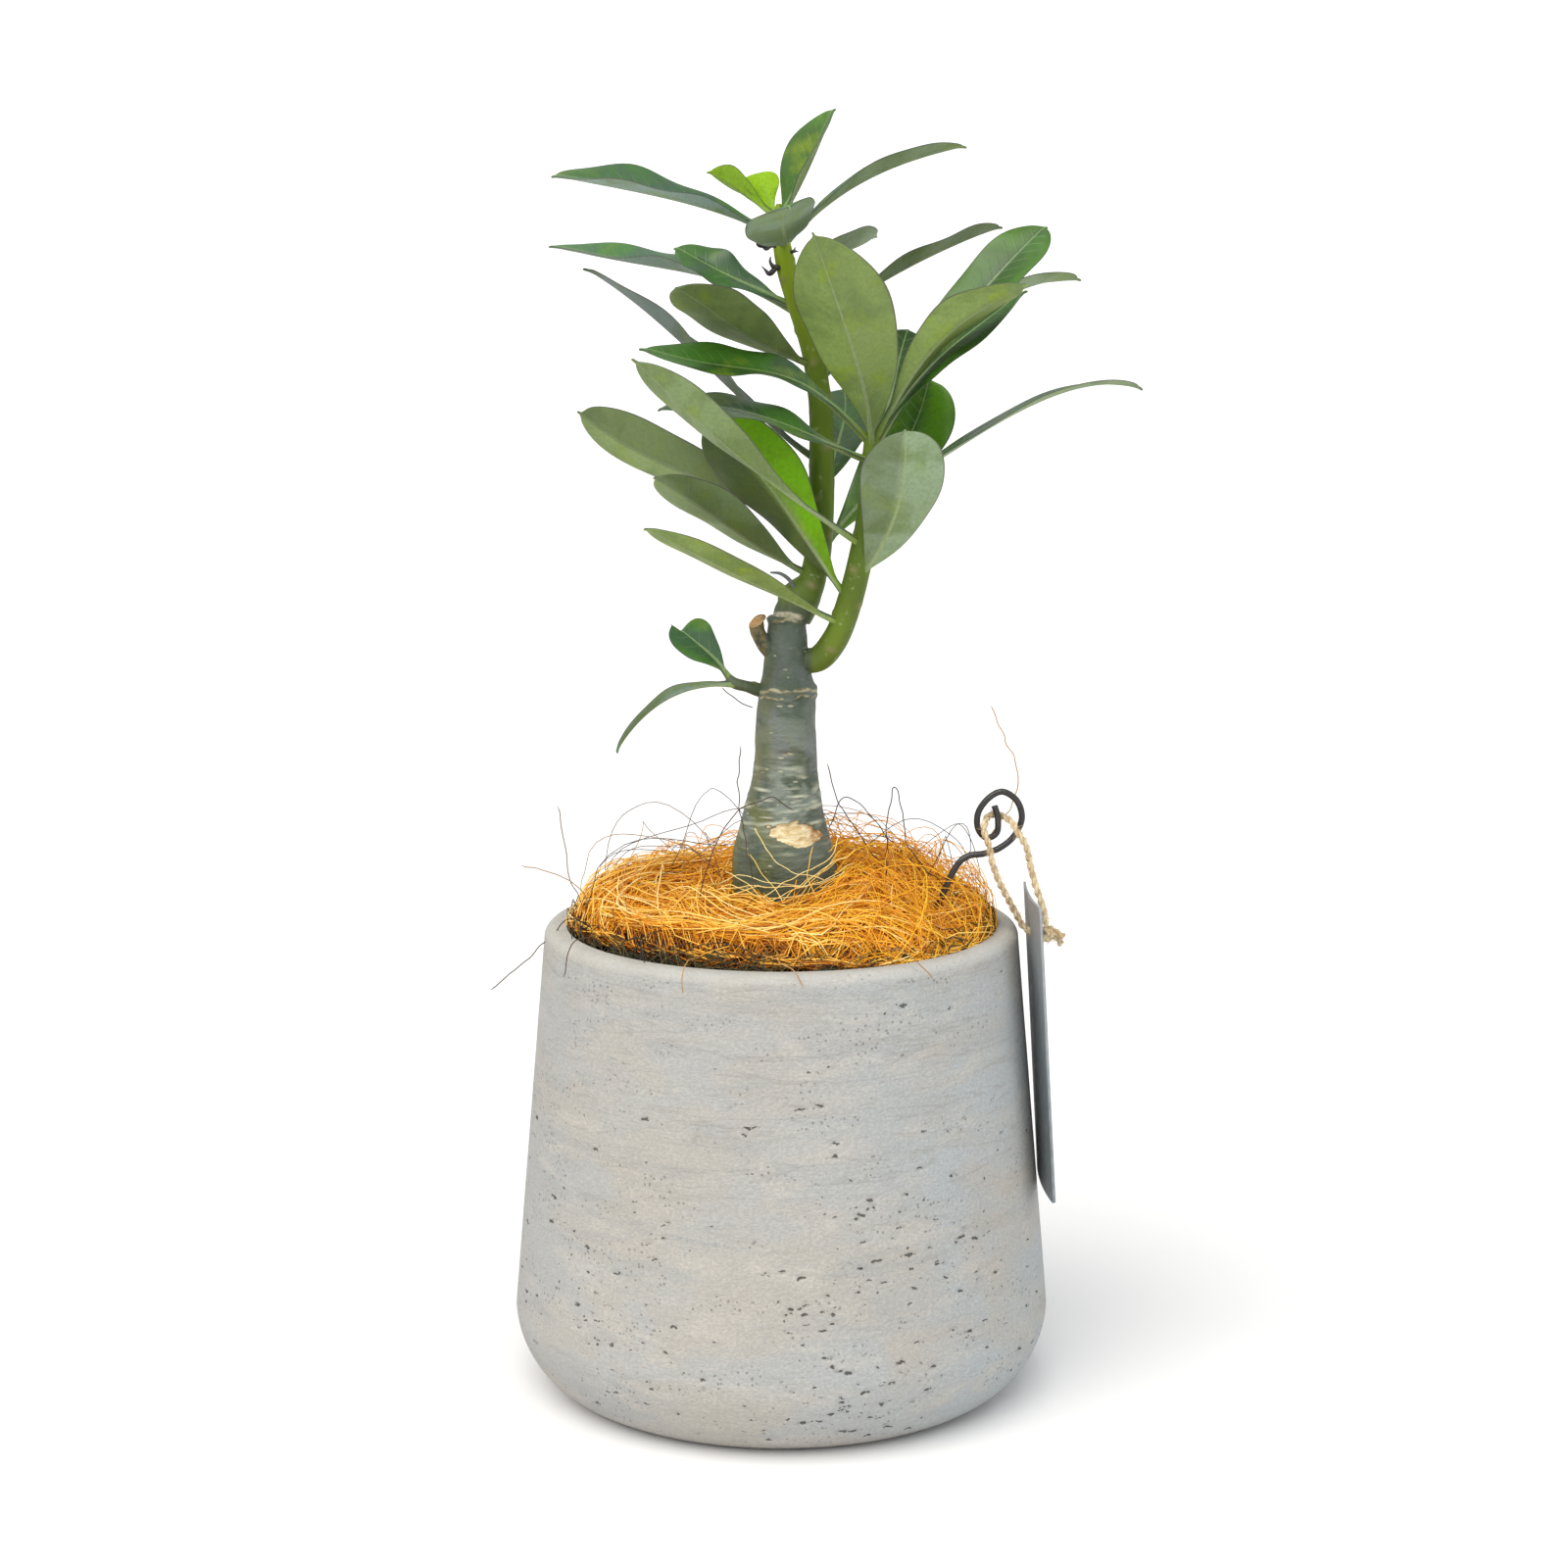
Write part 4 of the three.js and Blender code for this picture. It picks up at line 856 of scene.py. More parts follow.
def leaf_material():
    material, shader, place = new_material("leaf", 0.5)
    upper = read("upper")
    share = read("share")
    top = blend(read("grey"), (0.022, 0.075, 0.008), (0.05, 0.125, 0.055))
    under = blend(read("grey"), (0.2, 0.285, 0.055), (0.235, 0.325, 0.185))
    # The greyest leaves are painted paler blue-grey: partly the leaf's waxy bloom, partly a painted sheen.
    frost_and_sheen = ramp(read("grey"), 1.0, 1.6)
    top = blend(frost_and_sheen, top, (0.055, 0.13, 0.07))
    under = blend(frost_and_sheen, under, (0.225, 0.315, 0.27))
    blotch = mottled(place, 70, 0.42, 0.64, detail=3.0, warp=0.6)
    top = blend(blotch * 0.6, top, (0.06, 0.2, 0.012))
    under = blend(blotch * 0.75, under, (0.125, 0.19, 0.045))
    tone = blend(upper, under, top)
    fleck = mottled(place, 110, 0.52, 0.72, detail=4.0) * (read("yellow") * 0.9)
    tone = blend(fleck, tone, (0.21, 0.3, 0.012))
    glow = blend(mottled(place, 60, 0.4, 0.62), (0.13, 0.27, 0.002), (0.16, 0.42, 0.001))
    tone = blend(read("lit"), tone, glow)
    tone = blend(read("young"), tone, (0.26, 0.46, 0.01))
    aside = abs(read("aside"))
    reach = read("length") - aside * 0.75
    beat = calc("PINGPONG", reach + mottled(place, 90, 0.2, 0.8), 1.7)
    vein = ramp(beat, 0.28, 0.0) * ramp(read("edge"), 0.9, 0.3)
    plain = ramp(read("young"), 0.2, 1.0, 1.0, 0.25)
    tone = blend(vein * 0.16 * plain, tone, (0.3, 0.38, 0.18))
    width = ramp(share, 0.0, 1.0, 0.85, 0.2)
    line = ramp(aside / width, 1.0, 0.45)
    rib = blend(upper, (0.27, 0.34, 0.16), (0.24, 0.35, 0.13))
    tone = blend(line * 0.85 * plain, tone, rib)
    stalk = ramp(share, 0.14, 0.03)
    tone = blend(stalk, tone, (0.19, 0.29, 0.04))
    # Each half's painted light and shade multiplies its colour.
    tone = blend(1.0, tone, read_colour("pale"), "MULTIPLY")
    cells = mottled(place, 1100, 0.3, 0.7, detail=3.0)
    tone = blend(cells * 0.2, tone, (0.04, 0.06, 0.02))
    hem = ramp(read("edge"), 0.955, 0.99, 0.0, 0.7)
    tone = blend(hem, tone, (0.06, 0.045, 0.05))
    plug(shader, "Base Color", tone)
    gloss = mottled(place, 140, 0.3, 0.7) * 0.1 + ramp(upper, 0.0, 1.0, 0.58, 0.3)
    plug(shader, "Roughness", gloss)
    soft = calc("MAXIMUM", read("young"), read("lit"))
    plug(shader, "Specular IOR Level", ramp(soft, 0.2, 1.0, 0.5, 0.1))
    dents = mottled(place, 500, 0.2, 0.8) * 0.1
    relief = vein * 0.5 + dents
    bump(shader, relief, 0.15 * MM, 0.7)
    return material


def stem_material():
    material, shader, place = new_material("green_stem", 0.5)
    shader.inputs["Specular IOR Level"].default_value = 0.25
    height = split(place)["Z"]
    tone = blend(ramp(height, 196 * MM, 240 * MM), (0.1, 0.145, 0.018), (0.07, 0.12, 0.007))
    tone = blend(ramp(height, 262 * MM, 300 * MM), tone, (0.2, 0.28, 0.006))
    cloud = mottled(place, 120, 0.4, 0.65, (1, 1, 0.4))
    tone = blend(cloud * 0.5, tone, (0.15, 0.23, 0.012))
    pale = mottled(place, 420, 0.62, 0.72)
    tone = blend(pale * 0.5, tone, (0.3, 0.33, 0.16))
    base = ramp(height, 216 * MM, 211 * MM, 0, 0.85)
    aside = split(place)["X"]
    base = base * ramp(aside, 9 * MM, 7 * MM)
    greyish = blend(cloud, (0.055, 0.07, 0.045), (0.13, 0.145, 0.105))
    tone = blend(base, tone, greyish)
    tone = blend(read("scar"), tone, (0.19, 0.18, 0.07))
    corky = blend(mottled(place, 500, 0.35, 0.65, (1, 1, 2)), (0.24, 0.22, 0.15), (0.45, 0.42, 0.31))
    tone = blend(read("cork"), tone, corky)
    plug(shader, "Base Color", tone)
    bump(shader, mottled(place, 500, 0.25, 0.75, (1, 1, 0.4)), 0.12 * MM, 0.6)
    return material


SCAR_TURN = math.radians(137.5)
SCAR_STEP = 4.5
LEADER_CORK = (1.2, 209.4, 4.2, 1.5)    # the pale scar at its foot: x, z, half width, half height


def stem_piece(name, line_points, sides):
    """A green stem with the low scars of fallen leaves wound round it."""
    line = smooth_line(line_points, 10)
    rows = rings_along(line, sides)
    turn = np.arange(sides) / sides * 2 * math.pi
    run = run_along(line[:, :3])
    marks = np.zeros(rows.shape[:2])
    for knot in range(int(run[-1] / SCAR_STEP)):
        apart = (turn - knot * SCAR_TURN + math.pi) % (2 * math.pi) - math.pi
        marks += np.exp(-((run[:, None] - 3 - knot * SCAR_STEP) / 0.8) ** 2 - (apart[None] / 0.38) ** 2)
    marks = np.minimum(1, marks)
    rows = rows + unit(rows - line[:, None, :3]) * (0.3 * marks)[..., None]
    piece = new_piece(name, *bundle([rows]), stem_green)
    store(piece, "scar", marks)
    cork_x, cork_z, cork_w, cork_h = LEADER_CORK
    far = np.hypot((rows[..., 0] - cork_x) / cork_w, (rows[..., 2] - cork_z) / cork_h)
    store(piece, "cork", np.clip((1.15 - far) / 0.3, 0, 1) * (rows[..., 1] < 0))
    return piece


def leaves_piece(name, stem, leaves):
    """All the leaves of one stem as one mesh, each closed and rooted in the stem."""
    skins, marks = zip(*(leaf_skin(stem, leaf) for leaf in leaves))
    piece = new_piece(name, *bundle(skins), leaf_green)
    for label in marks[0]:
        store(piece, label, np.stack([leaf_marks[label] for leaf_marks in marks]))
    return piece


leaf_green = leaf_material()
stem_green = stem_material()
for label, stem, leaves, sides, node, slot_name in (
    ("leader", LEADER, LEADER_LEAVES, 40, "leader_shoot", "leaf"),
    ("branch", BRANCH, BRANCH_LEAVES, 40, "side_branch", "leaf"),
    ("tip", TIP_STEM, TIP_LEAVES, 20, "leader_tip", "young_leaf"),
    ("twig", TWIG, TWIG_LEAVES, 24, "left_twig", "leaf"),
):
    shoot = stem_piece(f"{label}_stem", stem, sides), leaves_piece(f"{label}_leaves", stem, leaves)
    for piece in shoot:
        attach(piece, "root")
        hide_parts(node)

# ----------------------------------------------------------------- dried buds
# Small buds that dried on the leader below its top leaves: dark, hard, with
# curled points. Low down hangs one dead leaflet, rolled up and grey.
BUDS = [  # the points each passes as x, y, z, radius
    [(0.2, -0.6, 305.6, 0.5), (-2.6, -1.8, 305.7, 0.45), (-4.4, -2.4, 305.6, 0.5),
     (-5.6, -2.6, 306.3, 0.95), (-6.3, -2.6, 307.2, 0.3)],
    [(-2.6, -1.8, 305.7, 0.4), (-3.8, -2.4, 304.9, 0.4), (-4.4, -2.5, 305.2, 0.35),
     (-4.6, -2.5, 305.9, 0.2)],
    [(0.6, -0.8, 300.2, 0.7), (-1.6, -1.8, 300.3, 0.75), (-2.5, -2, 301, 0.5), (-2.9, -2, 302, 0.35),
     (-2.7, -2, 303.1, 0.12)],
    [(-1.4, -1.7, 300.2, 0.7), (-2.6, -2, 298.9, 0.75), (-3.4, -2.1, 298.8, 0.6), (-4.2, -2.1, 299.7, 0.3),
     (-5.1, -2.1, 300.6, 0.12)],
    [(1.6, -0.8, 304, 0.5), (3.1, -1.4, 304.3, 0.45), (3.6, -1.5, 304.4, 0.35), (4.5, -1.5, 304.3, 0.1)],
    [(2.8, -1.4, 304.2, 0.35), (3.4, -1.5, 304.8, 0.25), (3.6, -1.5, 305.5, 0.1)],
    [(5.4, -1.2, 215.6, 0.5), (3.7, -3.2, 216.6, 0.5), (2.2, -3.6, 219.2, 0.55), (-0.2, -3.6, 220.9, 0.45),
     (-2.9, -3.4, 221.2, 0.25)],
]


def bud_material():
    material, shader, place = new_material("dried_bud", 0.6)
    tone = blend(mottled(place, 900, 0.35, 0.65), (0.008, 0.007, 0.009), (0.05, 0.035, 0.03))
    low = ramp(split(place)["Z"], 240 * MM, 230 * MM)
    tone = blend(low, tone, (0.1, 0.115, 0.105))
    plug(shader, "Base Color", tone)
    return material


bud_skins = [rings_along(smooth_line(route, 5), 10, (0.3, 0.9, 0.2)) for route in BUDS]
buds = new_piece("dried_buds", *bundle(bud_skins), bud_material())
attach(buds, "root")
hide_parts("leader_shoot")

# ------------------------------------------------------------------------ coir
# A loose mat of coconut fibre hides the soil: a felted bed painted near-black as shade,
# thousands of golden fibres that lie round the stem, paler strands over them, and thin hairs
# that spring out. At the front left it stops short of the wall, where fibres painted dark stand for shade.
MAT_RADIUS = 56
MAT_CROWN = 134.2
MAT_EDGE = 129
BED_SINK = 1.6
SHORT_TURN = 4.2
SHORT_BY = 12.0
FRONT_RIGHT = 5.4
DENT_AT = (41, -20)      # where the wire pick presses it down
DENT_DEPTH = 2.5
SLUMP = 4.5              # how much lower it lies at the far right


def mat_top(turn, radius):
    """Height of the mat: steep at its edge, lowest in front, heaped at the back right."""
    share = radius / mat_radius(turn)
    crown = MAT_CROWN + 1.2 * np.sin(turn) + 1.6 * np.cos(turn - 0.4)
    lump = 1.3 * np.sin(3 * turn + radius * 0.12) + 0.9 * np.sin(7 * turn - radius * 0.2)
    front_right = np.exp(-((turn - FRONT_RIGHT) ** 2) / 0.5)
    short = np.exp(-((turn - SHORT_TURN) ** 2) / 0.8)
    edge = MAT_EDGE + 3 * short - 1.5 * front_right
    x, y = radius * np.cos(turn), radius * np.sin(turn)
    dent = DENT_DEPTH * np.exp(-((x - DENT_AT[0]) / 9) ** 2 - ((y - DENT_AT[1]) / 15) ** 2)
    slump = SLUMP * np.clip((x - 24) / 28, 0, 1)
    return edge - dent - slump + (crown + lump - edge) * (1 - np.minimum(share, 1) ** 9) ** 0.6


def mat_radius(turn):
    """The mat's edge: wavy, and short of the wall at the front left."""
    short = np.exp(-((turn - SHORT_TURN) ** 2) / 0.7)
    return MAT_RADIUS + 0.9 * np.sin(5 * turn) - SHORT_BY * short


def coir_material(name, dark, middle, pale):
    material, shader, place = new_material(name, 0.6)
    tint = read("tint")
    tone = blend(ramp(tint, 0.0, 0.5), dark, middle)
    tone = blend(ramp(tint, 0.55, 1.0), tone, pale)
    tone = blend(mottled(place, 180, 0.45, 0.7) * 0.3, tone, dark)
    plug(shader, "Base Color", tone)
    return material


RAGGED = 8.0             # how unevenly the fibres end at the front left
OFF_MAT_LEVEL = 126.2    # where a fibre lies that passes the mat's edge


def fibre_tree():
    """Fibres scattered on a mat: each lies along it, bends, and arches off it."""
    given = geometry_tree(
        "coir_fibres", Per_Area=100000.0, Seed=1, Length=40 * MM, Thickness=0.16 * MM, Low=-1.0 * MM,
        High=3.0 * MM, Swing=0.8, Bend=6 * MM, Curl_Scale=22.0, Steps=10, Sides=3, Edge=58 * MM,
        Short=(SHORT_BY + 1) * MM, Right_Rise=0.5, In_Front=1.0, Fibre=coir_gold)
    position = add_node("GeometryNodeInputPosition")[0]
    where = split(position)
    behind = ramp(where["Y"], -6 * MM, 16 * MM)
    kept = calc("MAXIMUM", behind, given["In_Front"])
    spots = add_node("GeometryNodeDistributePointsOnFaces",
                     {"Mesh": given["Geometry"], "Density": given["Per_Area"] * kept,
                      "Seed": given["Seed"]})

    def draw(low, high, seed):
        return add_node("FunctionNodeRandomValue", {2: low, 3: high, "Seed": given["Seed"] + seed},
                        data_type="FLOAT")[1]

    swing = draw(-1.0, 1.0, 11) * given["Swing"]
    heading = calc("ARCTAN2", where["Y"], where["X"]) + (swing + math.pi / 2)
    turn = add_node("ShaderNodeCombineXYZ", {"Z": heading})
    straight = add_node("GeometryNodeCurvePrimitiveLine", {"Start": (-0.5, 0, 0), "End": (0.5, 0, 0)})
    stepped = add_node("GeometryNodeResampleCurve", {"Curve": straight[0], "Count": given["Steps"]})
    scale = draw(0.45, 1.35, 23) * given["Length"]
    laid = add_node("GeometryNodeInstanceOnPoints",
                    {"Points": spots["Points"], "Instance": stepped[0], "Rotation": turn[0],
                     "Scale": scale})

    def keep(geometry, label, value):
        return add_node("GeometryNodeStoreNamedAttribute",
                        {"Geometry": geometry, "Name": label, "Value": value}, data_type="FLOAT",
                        domain="INSTANCE")[0]

    tinted = keep(laid[0], "tint", draw(0.0, 1.0, 37))
    lifted = keep(tinted, "rise", draw(0.0, 1.0, 41))
    real = add_node("GeometryNodeRealizeInstances", {0: lifted})[0]

    def named(label):
        return add_node("GeometryNodeInputNamedAttribute", {"Name": label},
                        data_type="FLOAT")["Attribute"]

    own = named("tint") * 90.0
    cloud = add_node("ShaderNodeTexNoise",
                     {"Vector": position, "W": own, "Scale": given["Curl_Scale"], "Detail": 1.0},
                     noise_dimensions="4D")
    centred = vector("SUBTRACT", cloud["Color"], (0.5, 0.5, 0.5))
    bent = add_node("ShaderNodeVectorMath", {0: centred, "Scale": given["Bend"] * 3.2},
                    operation="SCALE")[0]
    spot = split(vector("ADD", position, bent))
    reach = calc("SQRT", spot["X"] * spot["X"] + spot["Y"] * spot["Y"])
    towards = spot["X"] * math.cos(SHORT_TURN) + spot["Y"] * math.sin(SHORT_TURN)
    facing = ramp(towards / reach, 0.5, 1.0)
    ragged = named("tint") * (RAGGED * MM) - 0.5 * RAGGED * MM
    held = given["Short"] + ragged
    limit = given["Edge"] - facing * held
    past = (reach / limit) ** 14.0
    pull = (past + 1.0) ** (-1 / 14)
    x = spot["X"] * pull
    y = spot["Y"] * pull
    above = add_node("ShaderNodeCombineXYZ", {"X": x, "Y": y, "Z": 0.3})
    fall = add_node("GeometryNodeRaycast",
                    {"Target Geometry": given["Geometry"], "Source Position": above[0],
                     "Ray Direction": (0, 0, -1), "Ray Length": 1.0})
    ground = split(fall["Hit Position"])["Z"]
    missed = 1.0 - fall["Is Hit"]
    base = ground + missed * (OFF_MAT_LEVEL * MM)
    factor = add_node("GeometryNodeSplineParameter")["Factor"]
    arch = calc("SINE", factor * math.pi)
    right = ramp(y * 0.7 + x, -35 * MM, 25 * MM, 1.0, 0.0)
    rise = named("rise") * named("rise") * (1.0 - right * given["Right_Rise"])
    lift = rise * arch * (given["High"] - given["Low"]) + given["Low"]
    shiver = split(bent)["Z"] * 0.35
    z = base + lift + shiver
    final = add_node("ShaderNodeCombineXYZ", {"X": x, "Y": y, "Z": z})
    placed = add_node("GeometryNodeSetPosition", {"Geometry": real, "Position": final[0]})
    ends = abs(factor * 2.0 - 1.0) ** 4.0
    slim = ends * -0.7 + 1.0
    own_size = named("rise") * 0.6 + 0.6
    sized = add_node("GeometryNodeSetCurveRadius", {"Curve": placed[0], "Radius": slim * own_size})
    section = add_node("GeometryNodeCurvePrimitiveCircle", {
        "Resolution": given["Sides"], "Radius": given["Thickness"]})
    solid = add_node("GeometryNodeCurveToMesh",
                     {"Curve": sized[0], "Profile Curve": section[0], "Fill Caps": True})
    smooth = add_node("GeometryNodeSetShadeSmooth", {0: solid[0]})
    return finish_tree(smooth[0], given["Fibre"])


COIR_SIDES = 132
coir_amber = coir_material("coir_amber", (0.17, 0.04, 0.002), (0.68, 0.24, 0.006), (0.95, 0.42, 0.012))
coir_gold = coir_material("coir_gold", (0.62, 0.19, 0.005), (0.96, 0.42, 0.006), (1.0, 0.60, 0.02))
coir_straw = coir_material("coir_straw", (0.9, 0.42, 0.03), (1.0, 0.62, 0.11), (1.0, 0.82, 0.36))
coir_hair = coir_material("coir_hair", (0.012, 0.009, 0.006), (0.07, 0.035, 0.014), (0.5, 0.27, 0.09))
# Painted shade: near-black fibres laid in the gap at the front left.
coir_shade = coir_material("coir_shade", (0.012, 0.012, 0.005), (0.045, 0.042, 0.012), (0.19, 0.13, 0.03))
# Painted shade: the felt is near-black, standing for the shade deep under the fibres.
coir_felt_painted_shade = coir_material("coir_felt_painted_shade", (0.015, 0.008, 0.002), (0.05, 0.02, 0.002), (0.11, 0.045, 0.003))
ring_turn = np.arange(COIR_SIDES) / COIR_SIDES * 2 * math.pi
edge_radius = mat_radius(ring_turn)


def mat_ring(share, height):
    radius = edge_radius * share
    level = height(ring_turn, radius) if callable(height) else np.full(COIR_SIDES, height)
    return np.stack([radius * np.cos(ring_turn), radius * np.sin(ring_turn), level], 1)


def bed_top(turn, radius):
    return mat_top(turn, radius) - BED_SINK


under_rows = [mat_ring(share, SOIL_TOP + 1.5) for share in (0.15, 0.5, 0.8, 0.9)]
under_rows += [mat_ring(0.93, SOIL_TOP + 2.5), mat_ring(0.95, SOIL_TOP + 4)]
upper_rows = [mat_ring(share, bed_top) for share in np.linspace(0.98, 0.15, 34)]
bed_rows = np.array(under_rows + upper_rows)
for row in bed_rows[len(under_rows):]:
    for point in row:
        point[2] += 1.3 * noise.fractal(Vector(point) * 0.13, 0.8, 2.0, 4)
bed = new_piece("coir_felt_painted_shade", *bundle([bed_rows]), coir_felt_painted_shade)
store(bed, "tint", [0.5 + 0.5 * noise.noise(Vector(p) * 0.3) for p in bed_rows.reshape(-1, 3)])

top_rows = np.array([mat_ring(share, mat_top) for share in np.linspace(1.0, 0.2, 30)])
shade_rows = np.array([mat_ring(share, SOIL_TOP + 8.5) for share in np.linspace(1.22, 0.85, 6)])
fibres = fibre_tree()
COIR_LAYERS = (
    ("coir_lower", coir_amber, top_rows, dict(
        Per_Area=500000.0, Seed=3, Length=36 * MM, Thickness=0.19 * MM, Low=-1.3 * MM, High=1.6 * MM,
        Swing=0.7, Steps=7, Right_Rise=0.0)),
    ("coir_upper", coir_gold, top_rows, dict(
        Per_Area=330000.0, Seed=8, Length=42 * MM, Thickness=0.14 * MM, Low=-0.3 * MM, High=4.5 * MM,
        Swing=1.0, Steps=9, Bend=8 * MM, Right_Rise=0.3)),
    ("coir_loops", coir_gold, top_rows, dict(
        Per_Area=110000.0, Seed=12, Length=44 * MM, Thickness=0.13 * MM, Low=0.0, High=14.0 * MM,
        Swing=3.0, Steps=14, Bend=8 * MM, Curl_Scale=34.0, Right_Rise=0.8)),
    ("coir_straws", coir_straw, top_rows, dict(
        Per_Area=60000.0, Seed=15, Length=70 * MM, Thickness=0.17 * MM, Low=0.6 * MM, High=6.0 * MM,
        Swing=0.7, Steps=18, Sides=4, Right_Rise=0.1)),
    ("coir_hairs", coir_hair, top_rows, dict(
        Per_Area=10000.0, Seed=21, Length=64 * MM, Thickness=0.125 * MM, Low=0.5 * MM, High=25.0 * MM,
        Swing=1.8, Steps=22, Bend=9 * MM, Curl_Scale=26.0, Right_Rise=0.0, In_Front=0.02)),
    ("coir_shade", coir_shade, shade_rows, dict(
        Per_Area=330000.0, Seed=27, Length=26 * MM, Thickness=0.15 * MM, Low=-3.0 * MM, High=8.0 * MM,
        Swing=1.2, Steps=9, Short=0.0, Right_Rise=0.0)),
)
for name, material, rows, sizes in COIR_LAYERS:
    quads = skin_faces(len(rows), COIR_SIDES)[:-2]
    layer = new_piece(name, rows.reshape(-1, 3), quads, material)
    run_tree(layer, fibres, Fibre=material, **sizes)
    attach(layer, "root")
    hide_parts("coir_mulch")
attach(bed, "root")
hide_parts("coir_mulch")

# ----------------------------------------------------------------- stray fibres
# Single fibres that left the mat: tall ones beside the stem, a dark loop, one that
# reaches far out on the left, some that hang over the rim, and pale strands that
# cross the foot of the stem.
STRAY_RADIUS = 0.15
STEM_STRAND_RADIUS = 0.11
STRAND_WAVE = 0.9
STRAND_SIDES = 6
STRAYS = [  # the points each passes, and how pale it is
    ([(-7, -20, 140), (-10.3, -15, 158), (-11, -15, 167), (-10.8, -15, 177)], 0.35),
    ([(-22, -16, 134), (-19, -16, 146), (-13, -15, 158), (-3, -14, 163), (3, -13, 160)], 0.4),
    ([(28, -10, 138), (28, -10, 148.8), (28.6, -10, 160), (29.8, -10, 164.6), (32, -10, 160),
      (33.1, -10, 150)], 0.0),
    ([(33.1, -10, 150), (37, -9, 144), (42, -7, 139), (47, -5, 134)], 0.1),
    ([(13, 12, 150), (17, 14, 158), (24, 15, 153), (30, 14, 146), (38, 12, 138)], 0.2),
    ([(12, -2, 170), (15, 0, 160), (21, 2, 150), (27, 4, 141)], 0.1),
    ([(55, -5, 150), (60, -5, 158), (63, -5, 164), (61.8, -5, 172), (58, -5, 180), (55.6, -5, 186)], 0.9),
    ([(-52, 0, 128), (-56.5, 0, 137), (-58, 0, 147), (-60, 0, 158)], 0.7),
    ([(-50, -6, 128), (-54, -5, 137), (-62, -4, 141), (-70, -3, 143)], 0.8),
    ([(-48, -12, 127), (-56, -12, 129.5), (-62, -10, 124), (-70, -10, 116.5), (-78, -10, 110)], 0.5),
    ([(-15.5, -9, 191), (-11.5, -9, 188), (-7.5, -9, 186)], 0.2),
    ([(-20, -48, 128), (-23, -56, 129), (-24, -62, 127.6), (-24.5, -64.5, 123)], 0.9),
    ([(-6, -50, 129), (-1, -58, 129.5), (3, -63, 127.6), (5, -65, 124.5)], 0.9),
    ([(24, -46, 130), (30, -52, 130.5), (35, -55.5, 127.8), (38, -56, 124)], 0.8),
    ([(-46, -30, 128), (-52, -35, 129.5), (-54.5, -38, 127.4), (-56, -41, 121)], 0.6),
]
STEM_STRANDS = [
    ([(-6.5, -14.5, 155), (-5.2, -15.6, 151.5), (-3, -16.2, 148), (1.5, -16.8, 144.4),
      (12, -15.5, 141)], 1.0),
    ([(18, -11, 146.5), (12.8, -14, 145.2), (9, -15.8, 142.3), (2.8, -17, 138.4), (-6, -18.5, 135.4)], 0.9),
    ([(20, -8, 148), (13.6, -12.5, 144.6), (5.9, -16.2, 140.7), (1.2, -18, 137), (-4, -22, 136)], 0.7),
    ([(16.2, -10, 149), (10.5, -15, 143), (6.6, -16.6, 139.4), (4.3, -19, 136), (3, -23, 135.6)], 0.5),
    ([(-17, -9, 139), (-10.3, -14.2, 142.3), (-1.9, -16.4, 140.5), (9, -15.6, 140), (17, -11, 142)], 1.0),
    ([(-18, -10, 136), (-13.4, -13.4, 139.4), (-9.6, -16, 138.2), (-3.4, -17.6, 137),
      (6, -19, 137.4)], 0.8),
    ([(-15, -12, 143), (-11, -14.2, 141), (-6, -16, 137.6), (-2, -19.5, 135.6)], 0.9),
    ([(17.5, -9, 142), (12.5, -14.4, 139.6), (7, -17.2, 137.6), (0, -20.5, 136.4)], 0.6),
    ([(-8, -15, 148), (-4.5, -16.5, 143), (-2, -17.5, 139.5), (0.5, -20, 136)], 0.75),
    ([(14.5, -12, 152), (13, -13.5, 147.5), (9.4, -15.8, 144.6), (3, -17, 142.4), (-5, -18, 137)], 0.95),
    ([(19, -9, 144), (11, -15.4, 140.8), (2, -17.6, 139.8), (-9, -16.4, 139.6), (-17, -12, 137.5)], 0.85),
    ([(8.5, -15.6, 150), (7, -16.6, 144), (7.6, -17.6, 140), (9.5, -20, 136.5)], 0.55),
]


def strand_piece(name, routes, material, radius):
    """Single wavy fibres along their routes, each as pale as its route says."""
    skins, tints = [], []
    for route, pale in routes:
        line = smooth_line([(*p, radius) for p in route], 9)
        line[:, :3] += [STRAND_WAVE * noise.noise_vector(Vector(p) * 0.22) for p in line[:, :3]]
        line[0, 3] = line[-1, 3] = radius * 0.4
        skins.append(rings_along(line, STRAND_SIDES, (0.25, 0.95, 0.1)))
        tints += [pale] * (len(line) * STRAND_SIDES)
    piece = new_piece(name, *bundle(skins), material)
    store(piece, "tint", tints)
    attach(piece, "root")
    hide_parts("coir_mulch")


strand_piece("stray_fibres", STRAYS, coir_hair, STRAY_RADIUS)
strand_piece("stem_strands", STEM_STRANDS, coir_straw, STEM_STRAND_RADIUS)

# ------------------------------------------------------------------- wire pick
# A pick of black lacquered wire pushed into the soil, bent over and wound into
# a small spiral that holds the twine.
HOOK_DEPTH = -12
WIRE_RADIUS = 0.85
WIRE_SIDES = 20
HOOK_ROUTE = [
    (34, 84), (38, 118), (40, 129), (42.7, 136.6), (46.4, 144.4), (49.5, 147), (53.5, 147.6),
    (57.6, 149.1), (61.3, 152.2), (63.4, 157), (62.1, 161.7), (58.3, 164.2), (54.6, 162.5),
    (51.9, 158.6), (51.9, 154.4), (54.1, 151.9), (56.8, 153.2), (57.1, 157), (56.2, 160.4),
]


